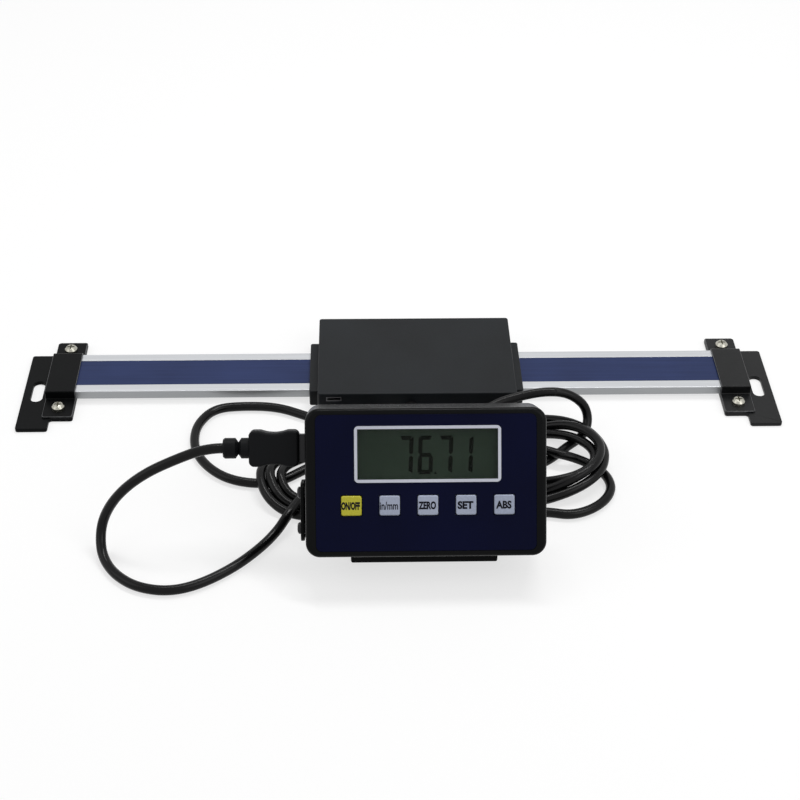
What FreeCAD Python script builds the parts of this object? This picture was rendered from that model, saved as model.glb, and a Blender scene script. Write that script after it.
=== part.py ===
"""Magnetic linear scale: a beam on two end brackets, a sliding reading head and a readout on a stand.

Built with the beam's centreline on Y = 0 and the table at Z = 0, then moved so that the
footprint is centred on the origin. X runs along the beam and -Y faces the reader. Millimetres.
"""
import FreeCAD, Part
import math
import os
import re
import Sketcher
from FreeCAD import Placement, Rotation, Vector

X_AXIS = Vector(1, 0, 0)
Y_AXIS = Vector(0, 1, 0)
Z_AXIS = Vector(0, 0, 1)
NEAR = 1e-4  # how close an edge lies to the place it is picked by
BEND_SHARE = 0.45  # how much of a straight run of cord each bend may take

SIZES = {
    # travel of the reading head and where it stands
    "travel": 200.0,
    "stop_gap": 0.2,
    "head_offset": 7.7,
    # beam with its tape groove and the lightening channel under it
    "beam_width": 28.8,
    "beam_thick": 4.3,
    "beam_chamfer": 0.3,
    "groove_width": 18.6,
    "groove_depth": 0.8,
    "channel_width": 11.0,
    "channel_depth": 1.2,
    "tape_thick": 0.5,
    "label_thick": 0.25,
    "tape_gap": 0.05,
    # stamped base plates
    "base_thick": 2.0,
    "base_corner": 1.2,
    "tab_front": 28.6,
    "tab_back": 29.9,
    "wing_inset": 10.5,
    "wing_width": 14.4,
    "wing_front": 36.1,
    "wing_back": 19.4,
    "slot_width": 5.5,
    "slot_length": 15.2,
    "slot_edge": 6.4,
    # folded clamp straps and their screws
    "strap_width": 13.85,
    "strap_thick": 0.9,
    "strap_gap": 0.05,
    "strap_front_bend": 0.5,
    "strap_back_bend": 1.6,
    "strap_corner": 1.2,
    "flange_back": 28.4,
    "clamp_front": 22.4,
    "clamp_back": 22.0,
    "clamp_shank_r": 1.45,
    "clamp_head_r": 2.9,
    "clamp_head_high": 2.6,
    "clamp_hole_gap": 0.15,
    "thread_gap": 0.05,
    "screw_end_gap": 0.2,
    "recess_deep": 1.2,
    "recess_arm": 1.7,
    "recess_wide": 0.7,
    # slider of the reading head
    "head_length": 98.6,
    "head_width": 37.2,
    "head_bottom": 0.5,
    "head_top": 8.7,
    "head_corner": 1.0,
    "strip_thick": 0.5,
    "strip_width": 3.2,
    "strip_inset": 2.0,
    "strip_play": 0.4,
    "run_gap": 0.1,
    "lip_gap": 0.2,
    "lip_reach": 4.0,
    "window_long": 12.0,
    "window_wide": 8.0,
    "sensor_gap": 1.0,
    "sensor_height": 0.35,
    "standoff_high": 1.0,
    "standoff_r": 2.2,
    "standoff_edge": 1.0,
    # cover of the reading head
    "cover_length": 90.4,
    "cover_width": 59.2,
    "cover_bottom": 5.0,
    "cover_top": 15.5,
    "cover_roof": 2.0,
    "cover_wall": 2.4,
    "cover_corner": 1.2,
    "cover_edge": 0.5,
    "cover_gap": 0.1,
    "cover_screw_pitch": 37.5,
    "cover_screw_z": 7.4,
    "cover_screw_r": 1.2,
    "cover_screw_bite": 2.6,
    "cover_head_r": 2.15,
    "cover_head_high": 1.5,
    "port_edge": 7.3,
    "port_z": 12.6,
    "port_long": 6.8,
    "port_high": 2.2,
    "port_deep": 5.5,
    "port_back": 1.0,
    "port_skin": 0.35,
    "port_gap": 0.1,
    "gland_x": -3.1,
    "gland_z": 8.4,
    "gland_r": 2.5,
    "gland_deep": 9.8,
    "gland_collar_r": 2.9,
    "gland_collar_high": 1.5,
    "head_hole_pitch": 60.0,
    "head_hole_z": 10.3,
    "head_hole_r": 1.65,
    "head_hole_deep": 8.0,
    "board_thick": 1.6,
    "board_gap": 1.0,
    "small_screw_r": 0.8,
    "small_screw_head_r": 1.6,
    "small_screw_head_high": 0.9,
    "small_screw_bite": 2.0,
    # readout case, leaning back on its stand
    "display_x": 7.8,
    "display_y": -120.3,
    "display_lift": 5.5,
    "lean": 34.0,
    "case_width": 96.0,
    "case_height": 59.5,
    "case_depth": 24.0,
    "case_corner": 5.7,
    "case_edge": 2.0,
    "case_back_edge": 1.5,
    "case_wall": 2.0,
    "case_front_wall": 2.0,
    "case_back_wall": 2.0,
    "back_depth": 13.6,
    "post_r": 2.9,
    "post_inset": 5.8,
    "case_screw_r": 1.1,
    "case_screw_bite": 6.0,
    "case_head_r": 2.1,
    "case_head_high": 1.4,
    "case_head_sink": 0.4,
    "hole_gap": 0.15,
    # face of the readout, its window and keys set off to the right
    "face_shift": 0.65,
    "overlay_side": 4.15,
    "overlay_end": 2.5,
    "overlay_corner": 2.5,
    "overlay_thick": 0.5,
    "overlay_gap": 0.1,
    "view_side": 15.95,
    "view_top": 8.25,
    "view_drop": 10.35,
    "bezel_band": 1.2,
    "bezel_thick": 0.4,
    "bezel_corner": 1.7,
    "lens_gap": 0.1,
    "lens_sink": 0.3,
    "panel_margin": 2.2,
    "panel_thick": 2.4,
    "panel_ledge": 2.4,
    "strip_foot": 2.0,
    # buttons
    "button_width": 8.1,
    "button_height": 7.9,
    "button_corner": 0.9,
    "button_edge": 0.5,
    "button_side": 9.45,
    "button_v": 20.8,
    "button_gap": 0.2,
    "button_proud": 0.7,
    "button_travel": 0.6,
    "button_flange": 1.0,
    "button_flange_thick": 1.0,
    "button_rest_gap": 0.1,
    "button_float": 0.2,
    "pad_thick": 0.6,
    "pad_margin": 1.0,
    "pad_short": 3.0,
    # readout board
    "display_board_side": 10.0,
    "display_board_end": 5.25,
    "display_board_z": 15.9,
    "pillar_r": 2.0,
    "pillar_inset": 3.2,
    # battery bay with its sliding door
    "bay_top_edge": 16.0,
    "bay_gap": 0.3,
    "bay_wall": 1.2,
    "bay_roof": 1.0,
    "cell_r": 5.25,
    "cell_length": 43.3,
    "nub_r": 1.9,
    "nub_high": 1.2,
    "cell_gap": 0.4,
    "cell_play": 0.15,
    "contact_thick": 0.4,
    "contact_spring": 4.4,
    "contact_spring_r": 2.3,
    "door_width": 56.0,
    "door_tall": 28.9,
    "door_thick": 1.5,
    "door_gap": 0.1,
    "tongue_reach": 0.8,
    "tongue_low": 0.6,
    "tongue_thick": 0.5,
    "tongue_short": 5.0,
    "ridge_wide": 1.0,
    "ridge_deep": 0.4,
    "ridge_long": 18.0,
    "ridge_edge": 3.0,
    # socket and plug on the readout's left side
    "plug_top_edge": 16.9,
    "plug_z": 8.5,
    "shell_tall": 11.2,
    "shell_thick": 3.8,
    "shell_reach": 6.8,
    "shell_gap": 0.2,
    "socket_deep": 9.0,
    "socket_wall": 0.8,
    "socket_back": 1.0,
    "plug_stand_off": 2.6,
    "grip_length": 20.3,
    "grip_tall": 14.6,
    "grip_thick": 9.6,
    "grip_corner": 2.2,
    "grip_edge": 1.2,
    "grip_scoop_r": 15.0,
    "grip_scoop_deep": 1.0,
    "grip_scoop_blend": 4.0,
    "neck_length": 10.5,
    "neck_r": 4.2,
    "neck_tip_r": 3.6,
    "neck_chamfer": 0.7,
    "neck_notch_at": 4.3,
    "neck_notch_wide": 2.4,
    "neck_notch_deep": 1.7,
    "cord_r": 2.1,
    "exit_run": 11.0,
    # folded stand
    "stand_width": 60.6,
    "stand_thick": 1.5,
    "stand_high": 29.0,
    "stand_bend": 1.2,
    "foot_bend": 0.6,
    "foot_corner": 2.2,
    "stand_corner": 4.0,
    "foot_length": 22.0,
    "ear_low": 4.7,
    "ear_high": 28.6,
    "ear_front": 13.0,
    "ear_corner": 4.0,
    "ear_gap": 0.8,
    "arm_root": 2.0,
    "ear_screw_low": 9.6,
    "ear_screw_high": 24.2,
    "ear_screw_z": 7.0,
    "stand_screw_r": 1.2,
    "stand_screw_bite": 4.5,
    "stand_head_r": 2.4,
    "stand_head_high": 1.5,
    "stand_screw_x": 20.0,
    "stand_screw_v": 18.0,
    "boss_r": 2.6,
    # hank of spare cord on the table
    "coil_x": 14.0,
    "coil_y": -64.0,
    "coil_length": 159.0,
    "coil_width": 71.0,
    "coil_band": 18.0,
    "coil_high": 4.4,
}

DERIVED = {
    "beam_top": "base_thick + beam_thick",
    "beam_half": "beam_width / 2",
    "stop_x": "(travel + head_length) / 2 + stop_gap",
    "beam_length": "2 * (stop_x + strap_width)",
    "wing_start": "stop_x + wing_inset",
    "wing_end": "wing_start + wing_width",
    "strap_end": "stop_x + strap_width",
    "clamp_x": "stop_x + strap_width / 2",
    "slot_x": "wing_end - slot_edge",
    "slot_y": "(wing_back - wing_front) / 2",
    "strap_top": "beam_top + strap_thick",
    "flange_top": "base_thick + strap_thick",
    "riser": "beam_half + strap_gap",
    "cavity_half": "beam_half + strip_thick + run_gap",
    "cavity_top": "beam_top + strip_thick + run_gap",
    "lip_top": "base_thick - lip_gap",
    "lip_open": "beam_half - lip_reach",
    "cover_face": "cover_width / 2",
    "block_deep": "(cover_width - head_width) / 2",
    "cavity_long": "cover_length - 2 * cover_wall",
    "cavity_wide": "head_width - 2 * cover_wall",
    "port_x": "cover_length / 2 - port_edge",
    "head_board_z": "head_top + standoff_high",
    "head_board_long": "cavity_long - 2 * board_gap",
    "head_board_wide": "cavity_wide - 2 * board_gap",
    "standoff_x": "head_board_long / 2 - standoff_r - standoff_edge",
    "standoff_y": "head_board_wide / 2 - standoff_r - standoff_edge",
    "case_mid": "case_height / 2",
    "overlay_width": "case_width - 2 * overlay_side",
    "overlay_height": "case_height - 2 * overlay_end",
    "view_width": "overlay_width - 2 * view_side",
    "view_height": "case_height - view_top - view_drop - button_v",
    "view_v": "case_height - view_top - view_height / 2",
    "button_pitch": "(overlay_width - 2 * button_side - button_width) / 4",
    "display_board_width": "case_width - 2 * display_board_side",
    "display_board_height": "case_height - 2 * display_board_end",
    "bay_v": "case_height - bay_top_edge",
    "door_bottom": "case_height - door_tall",
    "plug_v": "case_height - plug_top_edge",
    "front_inner": "case_depth - case_front_wall",
    "post_x": "case_width / 2 - post_inset",
    "post_low": "post_inset",
    "post_high": "case_height - post_inset",
    "board_front": "display_board_z + board_thick",
    "pillar_x": "display_board_width / 2 - pillar_inset",
    "pillar_low": "case_mid - display_board_height / 2 + pillar_inset",
    "pillar_high": "case_mid + display_board_height / 2 - pillar_inset",
    "button_foot": "board_front + pad_thick + button_travel + button_float",
    "button_shoulder": "front_inner - button_rest_gap",
    "cell_z": "door_thick + door_gap + cell_play + cell_r",
    "bay_top": "cell_z + cell_r + cell_play",
    "cell_span": "cell_length + nub_high + contact_spring",
    "bay_long": "cell_span + 2 * contact_thick",
    "bay_tall": "4 * cell_r + cell_gap + 2 * bay_gap",
    "cell_v": "cell_r + cell_gap / 2",
    "case_left": "case_width / 2",
    "plug_face": "case_left + plug_stand_off",
    "grip_end": "plug_face + grip_length",
    "neck_end": "grip_end + neck_length",
    "ear_in": "case_left + ear_gap",
    "ear_out": "ear_in + stand_thick",
    "bend_y": "display_y - display_lift * tan(lean)",
    "front_reach": "display_y + case_edge * (sin(lean) - 1) - (case_depth - case_edge) * cos(lean)",
    "back_reach": "max(tab_back; cover_face)",
    "middle_y": "(front_reach + back_reach) / 2",
}

# The cord lies as chosen by hand: each lead leaves its exit straight and then follows its route.
HEAD_LEAD_ROUTE = [
    (13.0, -51.2, 10.4),
    (25.5, -50.8, 11.2),
    (33.6, -43.4, 13.0),
    (43.2, -37.4, 16.0),
    (54.2, -34.9, 17.8),
    (64.6, -34.5, 19.9),
    (74.5, -34.0, 18.8),
    (82.2, -34.4, 13.3),
    (84.8, -36.5, 7.8),
    (84.0, -41.0, 3.4),
    (80.0, -46.8, 2.2),
    (74.4, -51.6, 2.1),
    (69.4, -57.0, 2.1),
    (63.6, -62.4, 2.1),
    (56.0, -66.4, 2.1),
    (47.0, -67.45, 2.1),
    (38.0, -67.2, 2.1),
]
DISPLAY_LEAD_ROUTE = [
    (-95.0, -106.0, 42.0),
    (-104.5, -108.0, 35.0),
    (-112.0, -108.5, 27.5),
    (-119.0, -108.7, 19.0),
    (-124.6, -110.0, 10.5),
    (-127.0, -116.5, 4.4),
    (-124.5, -125.0, 2.1),
    (-118.0, -132.0, 2.1),
    (-108.5, -138.6, 2.1),
    (-96.5, -141.0, 2.1),
    (-84.0, -137.2, 2.1),
    (-71.0, -127.5, 2.1),
    (-59.5, -115.0, 2.1),
    (-50.5, -101.5, 2.1),
    (-45.0, -89.0, 2.1),
]
LEFT_LOOP_ROUTE = [
    (-31.0, -36.0, 2.1),
    (-43.5, -29.6, 2.1),
    (-56.5, -24.0, 2.1),
    (-71.0, -21.6, 2.1),
    (-83.0, -25.5, 2.1),
    (-90.5, -34.5, 2.1),
    (-93.0, -45.5, 2.1),
    (-91.0, -56.5, 2.1),
    (-84.5, -66.5, 2.1),
    (-74.0, -73.5, 2.1),
    (-61.5, -75.4, 2.1),
    (-50.0, -74.2, 2.1),
    (-37.0, -71.0, 2.1),
    (-20.0, -68.2, 2.1),
    (0.0, -67.1, 2.1),
    (20.0, -66.7, 2.1),
    (38.0, -67.2, 2.1),
]

doc = FreeCAD.newDocument("linear_scale")
sheet = doc.addObject("Spreadsheet::Sheet", "dim")
nodes = {}
cord_nodes = []


def fill_sheet():
    """One plain number a row, each under its own alias."""
    for row, (alias, number) in enumerate(SIZES.items(), start=1):
        sheet.set(f"A{row}", str(number))
        sheet.setAlias(f"A{row}", alias)
    doc.recompute()


def formula(text):
    """Write a size formula in full, with each alias taken from the sheet."""

    def word(match):
        name = match.group()
        if name in DERIVED:
            return f"({formula(DERIVED[name])})"
        return f"dim.{name}" if name in SIZES else name

    return re.sub(r"[A-Za-z_]\w*", word, str(text))


def value(text):
    return float(sheet.evalExpression(formula(text)))


def bind(thing, **settings):
    for setting, text in settings.items():
        thing.setExpression(setting, formula(text))


def put_at(thing, corner):
    for axis, text in zip("xyz", corner):
        thing.setExpression(f"Placement.Base.{axis}", formula(text))


# Sketches and features of a body


def body(name):
    return doc.addObject("PartDesign::Body", name)


def sketch(owner, plane="XY_Plane", offset="0"):
    """A sketch on one of the body's origin planes, moved along that plane's normal."""
    drawn = owner.newObject("Sketcher::SketchObject", f"{owner.Name}_sketch")
    support = next(plane_ for plane_ in owner.Origin.OriginFeatures if plane_.Role == plane)
    drawn.AttachmentSupport = [(support, "")]
    drawn.MapMode = "FlatFace"
    drawn.setExpression("AttachmentOffset.Base.z", formula(offset))
    return drawn


def fix(drawn, kind, item, point, text):
    """A distance from the sketch's origin, bound to a formula."""
    index = drawn.addConstraint(Sketcher.Constraint(kind, -1, 1, item, point, value(text)))
    drawn.setExpression(f"Constraints[{index}]", formula(text))


def fix_radius(drawn, item, text):
    index = drawn.addConstraint(Sketcher.Constraint("Radius", item, value(text)))
    drawn.setExpression(f"Constraints[{index}]", formula(text))


def outline(drawn, points):
    """A closed outline of straight edges through points given as pairs of formulas."""
    first = drawn.GeometryCount
    count = len(points)
    spots = [Vector(value(x), value(y), 0) for x, y in points]
    for index in range(count):
        drawn.addGeometry(Part.LineSegment(spots[index], spots[(index + 1) % count]), False)
    for index in range(count):
        following = first + (index + 1) % count
        drawn.addConstraint(Sketcher.Constraint("Coincident", first + index, 2, following, 1))
    for index, (x, y) in enumerate(points):
        fix(drawn, "DistanceX", first + index, 1, x)
        fix(drawn, "DistanceY", first + index, 1, y)
    return drawn


def rectangle(drawn, width, height, centre=("0", "0"), corner=None):
    """A rectangle about a centre, with rounded corners where a corner radius is given."""
    left, right = f"{centre[0]} - ({width}) / 2", f"{centre[0]} + ({width}) / 2"
    low, high = f"{centre[1]} - ({height}) / 2", f"{centre[1]} + ({height}) / 2"
    if corner is None:
        return outline(drawn, [(left, low), (right, low), (right, high), (left, high)])
    first = drawn.GeometryCount
    x0, x1, y0, y1, r = value(left), value(right), value(low), value(high), value(corner)
    runs = [
        ((x0 + r, y0), (x1 - r, y0)),
        ((x1, y0 + r), (x1, y1 - r)),
        ((x1 - r, y1), (x0 + r, y1)),
        ((x0, y1 - r), (x0, y0 + r)),
    ]
    centres = [(x1 - r, y0 + r), (x1 - r, y1 - r), (x0 + r, y1 - r), (x0 + r, y0 + r)]
    for turn in range(4):
        begin, end = runs[turn]
        drawn.addGeometry(Part.LineSegment(Vector(*begin, 0), Vector(*end, 0)), False)
        circle_ = Part.Circle(Vector(*centres[turn], 0), Z_AXIS, r)
        start = math.radians(90 * turn - 90)
        drawn.addGeometry(Part.ArcOfCircle(circle_, start, start + math.pi / 2), False)
    for item in range(8):
        drawn.addConstraint(Sketcher.Constraint("Tangent", first + item, 2, first + (item + 1) % 8, 1))
    for item, kind in zip((0, 2, 4, 6), ("Horizontal", "Vertical", "Horizontal", "Vertical")):
        drawn.addConstraint(Sketcher.Constraint(kind, first + item))
    for item in (3, 5, 7):
        drawn.addConstraint(Sketcher.Constraint("Equal", first + 1, first + item))
    fix(drawn, "DistanceY", first, 1, low)
    fix(drawn, "DistanceX", first + 2, 1, right)
    fix(drawn, "DistanceY", first + 4, 1, high)
    fix(drawn, "DistanceX", first + 6, 1, left)
    fix_radius(drawn, first + 1, corner)
    return drawn


def stadium(drawn, long_side, short_side, centre=("0", "0"), upright=False):
    """A slot with full-round ends, lying along the sketch's X, or along its Y when upright."""
    first = drawn.GeometryCount
    r = value(f"({short_side}) / 2")
    reach = f"(({long_side}) - ({short_side})) / 2"
    half = value(reach)
    cx, cy = value(centre[0]), value(centre[1])
    along = Vector(0, 1, 0) if upright else Vector(1, 0, 0)
    middle = Vector(cx, cy, 0)
    turn = math.pi / 2 if upright else 0.0
    far, near = middle + along * half, middle - along * half
    side = Vector(-along.y, along.x, 0) * r
    drawn.addGeometry(Part.LineSegment(near - side, far - side), False)
    drawn.addGeometry(
        Part.ArcOfCircle(Part.Circle(far, Z_AXIS, r), turn - math.pi / 2, turn + math.pi / 2), False
    )
    drawn.addGeometry(Part.LineSegment(far + side, near + side), False)
    drawn.addGeometry(
        Part.ArcOfCircle(Part.Circle(near, Z_AXIS, r), turn + math.pi / 2, turn + 1.5 * math.pi), False
    )
    for item in range(4):
        drawn.addConstraint(Sketcher.Constraint("Tangent", first + item, 2, first + (item + 1) % 4, 1))
    steady = ("DistanceX", centre[0]) if upright else ("DistanceY", centre[1])
    moved = ("DistanceY", centre[1]) if upright else ("DistanceX", centre[0])
    fix(drawn, steady[0], first + 1, 3, steady[1])
    fix(drawn, steady[0], first + 3, 3, steady[1])
    fix(drawn, moved[0], first + 1, 3, f"{moved[1]} + {reach}")
    fix(drawn, moved[0], first + 3, 3, f"{moved[1]} - {reach}")
    fix_radius(drawn, first + 1, f"({short_side}) / 2")
    return drawn


def circles(drawn, radius, centres):
    for x, y in centres:
        item = drawn.addGeometry(
            Part.Circle(Vector(value(x), value(y), 0), Z_AXIS, value(radius)), False
        )
        fix(drawn, "DistanceX", item, 3, x)
        fix(drawn, "DistanceY", item, 3, y)
        fix_radius(drawn, item, radius)
    return drawn


def pad(owner, drawn, length, midplane=False, back=False):
    feature = owner.newObject("PartDesign::Pad", f"{owner.Name}_pad")
    feature.Profile = drawn
    bind(feature, Length=length)
    feature.Midplane = midplane
    feature.Reversed = back
    doc.recompute()
    return feature


def pocket(owner, drawn, length, midplane=False, back=False):
    """A cut against the sketch's normal, which has to take material away."""
    before = owner.Tip.Shape.Volume
    feature = owner.newObject("PartDesign::Pocket", f"{owner.Name}_pocket")
    feature.Profile = drawn
    bind(feature, Length=length)
    feature.Midplane = midplane
    feature.Reversed = back
    doc.recompute()
    if not feature.Shape.Volume < before - NEAR:
        raise RuntimeError(f"{feature.Name} cuts nothing")
    return feature


def round_edges(owner, radius, chosen):
    """Fillet the edges of the body's last feature that the chooser accepts."""
    base = owner.Tip
    names = [f"Edge{i}" for i, edge in enumerate(base.Shape.Edges, start=1) if chosen(edge)]
    if not names:
        raise RuntimeError(f"{owner.Name} has no edge to round")
    feature = owner.newObject("PartDesign::Fillet", f"{owner.Name}_fillet")
    feature.Base = (base, names)
    bind(feature, Radius=radius)
    doc.recompute()
    return feature


def runs_along(edge, axis):
    """Whether an edge is straight and parallel to an axis."""
    if not isinstance(edge.Curve, Part.Line):
        return False
    return abs(edge.Curve.Direction.dot(axis)) > 0.9999


def level(edge, text):
    """Whether an edge lies flat at a height."""
    height = value(text)
    return abs(edge.BoundBox.ZMin - height) < NEAR and abs(edge.BoundBox.ZMax - height) < NEAR


def revolve(owner, drawn, axis):
    feature = owner.newObject("PartDesign::Revolution", f"{owner.Name}_turned")
    feature.Profile = drawn
    feature.ReferenceAxis = (drawn, [axis])
    feature.Angle = 360.0
    doc.recompute()
    return feature


# Primitives and booleans


def block(name, size, corner):
    thing = doc.addObject("Part::Box", name)
    bind(thing, Length=size[0], Width=size[1], Height=size[2])
    put_at(thing, corner)
    return thing


def rod(name, radius, length, base, axis=Z_AXIS):
    thing = doc.addObject("Part::Cylinder", name)
    bind(thing, Radius=radius, Height=length)
    thing.Placement = Placement(Vector(), Rotation(Z_AXIS, axis))
    put_at(thing, base)
    return thing


def group(name, things):
    made = doc.addObject("Part::Compound", name)
    made.Links = list(things)
    return made


def fuse(name, things):
    made = doc.addObject("Part::MultiFuse", name)
    made.Shapes = list(things)
    return made


def cut(name, base, tools):
    made = doc.addObject("Part::Cut", name)
    made.Base = base
    made.Tool = tools[0] if len(tools) == 1 else group(f"{name}_tools", tools)
    return made


def screw(name, shank_r, shank_length, head_r, head_high, base, axis):
    """A pan-head screw, its head seated at the base point and its shank running against the axis."""
    made = body(name)
    drawn = outline(
        sketch(made, "XZ_Plane"),
        [
            ("0", f"-({shank_length})"),
            (shank_r, f"-({shank_length})"),
            (shank_r, "0"),
            (head_r, "0"),
            (head_r, f"0.55 * {head_high}"),
            (f"0.72 * {head_r}", f"0.92 * {head_high}"),
            (f"0.4 * {head_r}", head_high),
            ("0", head_high),
        ],
    )
    revolve(made, drawn, "V_Axis")
    made.Placement = Placement(Vector(), Rotation(Z_AXIS, axis))
    put_at(made, base)
    return made


# Nodes


def lean_frame():
    """The readout's own frame: X to the right, Y up its back and Z out of its face."""
    spot = Vector(value("display_x"), value("display_y"), value("display_lift"))
    return Placement(spot, Rotation(X_AXIS, 90 - value("lean")))


def head_frame():
    return Placement(Vector(value("head_offset"), 0, 0), Rotation())


def leaned(thing):
    """A readout piece as a tool or as part of a piece built upright."""
    held = group(f"{thing.Name}_leaned", [thing])
    held.Placement = lean_frame()
    return held


def node(label, thing, frame=None, cord=False):
    """Name a finished piece and set it in its frame."""
    if thing.TypeId in ("Part::Box", "Part::Cylinder", "Part::Cone"):
        thing = group(f"{label}_piece", [thing])
    if frame is not None:
        thing.Placement = frame
    thing.Label = label
    nodes[label] = thing
    if cord:
        cord_nodes.append(label)
    return thing


# The beam and its end brackets


def make_beam():
    made = body("beam_body")
    half, edge = "beam_half", "beam_chamfer"
    right = [
        ("channel_width / 2", "base_thick"),
        (f"{half} - {edge}", "base_thick"),
        (half, f"base_thick + {edge}"),
        (half, f"beam_top - {edge}"),
        (f"{half} - {edge}", "beam_top"),
        ("groove_width / 2", "beam_top"),
        ("groove_width / 2", "beam_top - groove_depth"),
    ]
    channel = [("channel_width / 2", "base_thick + channel_depth")]
    left = [(f"-({y})", z) for y, z in reversed(right)]
    mirrored = [(f"-({y})", z) for y, z in channel]
    drawn = outline(sketch(made, "YZ_Plane"), channel + right + left + mirrored)
    pad(made, drawn, "beam_length", midplane=True)
    node("beam", made)
    wide = "groove_width - 2 * tape_gap"
    low = "beam_top - groove_depth"
    corner = ("-beam_length / 2", f"-({wide}) / 2")
    node("magnetic_tape", block("tape", ("beam_length", wide, "tape_thick"), (*corner, low)))
    top = f"{low} + tape_thick"
    node("scale_label", block("label_film", ("beam_length", wide, "label_thick"), (*corner, top)))


def make_bracket(name, side):
    """A stamped base plate with its adjusting slot, and the strap that clamps the beam to it."""
    plate = body(f"{name}_plate")
    shape = [
        ("stop_x", "-tab_front"),
        ("wing_start", "-tab_front"),
        ("wing_start", "-wing_front"),
        ("wing_end", "-wing_front"),
        ("wing_end", "wing_back"),
        ("strap_end", "wing_back"),
        ("strap_end", "tab_back"),
        ("stop_x", "tab_back"),
    ]
    pad(plate, outline(sketch(plate), [(f"{side} * ({x})", y) for x, y in shape]), "base_thick")
    round_edges(plate, "base_corner", lambda edge: runs_along(edge, Z_AXIS))
    slot_at = (f"{side} * slot_x", "slot_y")
    top = "base_thick"
    pocket(plate, stadium(sketch(plate, offset=top), "slot_length", "slot_width", slot_at, True), top)
    holes = [(f"{side} * clamp_x", "-clamp_front"), (f"{side} * clamp_x", "clamp_back")]
    pocket(plate, circles(sketch(plate, offset=top), "clamp_shank_r + thread_gap", holes), top)
    node(f"{name}_base_plate", plate)

    strap = body(f"{name}_strap")
    drawn = outline(
        sketch(strap, "YZ_Plane", f"{side} * clamp_x"),
        [
            ("-tab_front", "base_thick"),
            ("-riser", "base_thick"),
            ("-riser", "beam_top"),
            ("riser", "beam_top"),
            ("riser", "base_thick"),
            ("flange_back", "base_thick"),
            ("flange_back", "flange_top"),
            ("riser + strap_thick", "flange_top"),
            ("riser + strap_thick", "strap_top"),
            ("-(riser + strap_thick)", "strap_top"),
            ("-(riser + strap_thick)", "flange_top"),
            ("-tab_front", "flange_top"),
        ],
    )
    pad(strap, drawn, "strap_width", midplane=True)
    folds = value("riser + strap_thick")
    for facing, bend in ((-1, "strap_front_bend"), (1, "strap_back_bend")):

        def is_fold(edge):
            return runs_along(edge, X_AXIS) and abs(facing * edge.BoundBox.YMin - folds) < NEAR

        round_edges(strap, bend, is_fold)
    beyond = value("clamp_back + clamp_head_r")
    round_edges(
        strap,
        "strap_corner",
        lambda edge: runs_along(edge, Z_AXIS) and abs(edge.BoundBox.YMin) > beyond,
    )
    pocket(
        strap,
        circles(sketch(strap, offset="flange_top"), "clamp_shank_r + clamp_hole_gap", holes),
        "strap_thick",
    )
    node(f"{name}_clamp_strap", strap)


def make_clamp_screws():
    """Two cross-recess screws through each strap, threaded into its base plate."""
    made = []
    for side in (-1, 1):
        for y in ("-clamp_front", "clamp_back"):
            base = (f"{side} * clamp_x", y, "flange_top")
            one = screw(
                "clamp_screw",
                "clamp_shank_r",
                "flange_top",
                "clamp_head_r",
                "clamp_head_high",
                base,
                Z_AXIS,
            )
            arm, half = "recess_arm", "recess_wide / 2"
            quarter = [(arm, f"-{half}"), (arm, half), (half, half)]
            cross = quarter
            for _ in range(3):
                quarter = [(f"-({y_})", x_) for x_, y_ in quarter]
                cross = cross + quarter
            drawn = outline(sketch(one, offset="clamp_head_high"), cross)
            pocket(one, drawn, "recess_deep")
            made.append(one)
    node("clamp_screws", group("clamp_screw_set", made))


# The reading head, built about its own middle


def cover_screw_rows(front):
    """Places of the screws along one flank of the cover; in front the cord leaves between them."""
    places = (-1, 1) if front else (-1, 0, 1)
    return [(f"{i} * cover_screw_pitch", "cover_screw_z") for i in places]


def make_slider():
    made = body("slider")
    half = [
        ("lip_open", "head_bottom"),
        ("head_width / 2", "head_bottom"),
        ("head_width / 2", "head_top"),
    ]
    inner = [("cavity_half", "cavity_top"), ("cavity_half", "lip_top"), ("lip_open", "lip_top")]
    right = inner + half
    left = [(f"-({y})", z) for y, z in reversed(right)]
    pad(made, outline(sketch(made, "YZ_Plane"), right + left), "head_length", midplane=True)
    flank = value("head_width / 2")
    round_edges(
        made,
        "head_corner",
        lambda edge: runs_along(edge, Z_AXIS) and abs(edge.BoundBox.YMin) > flank - NEAR,
    )
    window = rectangle(sketch(made, offset="head_top"), "window_long", "window_wide")
    pocket(made, window, "head_top - cavity_top")
    spots = [(f"{i} * standoff_x", f"{j} * standoff_y") for i in (-1, 1) for j in (-1, 1)]
    pad(made, circles(sketch(made, offset="head_top"), "standoff_r", spots), "standoff_high")
    holes = circles(sketch(made, offset="head_board_z"), "small_screw_r + thread_gap", spots)
    pocket(made, holes, "small_screw_bite")
    for side in (1, -1):
        drawn = circles(
            sketch(made, "XZ_Plane", f"{side} * head_width / 2"),
            "cover_screw_r + thread_gap",
            cover_screw_rows(front=side > 0),
        )
        pocket(made, drawn, "cover_screw_bite", back=side < 0)
    node("head_slider", made, head_frame())


def make_wear_strips():
    """Slide liners beside the beam and on its two bright edges."""
    long = "head_length - 2 * strip_inset"
    start = f"-({long}) / 2"
    tall = "beam_thick - 2 * beam_chamfer - strip_play"
    inner = "cavity_half - strip_thick"
    made = []
    for y in (inner, "-cavity_half"):
        low = f"base_thick + (beam_thick - ({tall})) / 2"
        made.append(block("side_strip", (long, "strip_thick", tall), (start, y, low)))
    edge = "beam_half - beam_chamfer - strip_width"
    for y in (edge, f"-({edge}) - strip_width"):
        low = "cavity_top - strip_thick"
        made.append(block("top_strip", (long, "strip_width", "strip_thick"), (start, y, low)))
    node("wear_strips", group("strip_set", made), head_frame())


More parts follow.
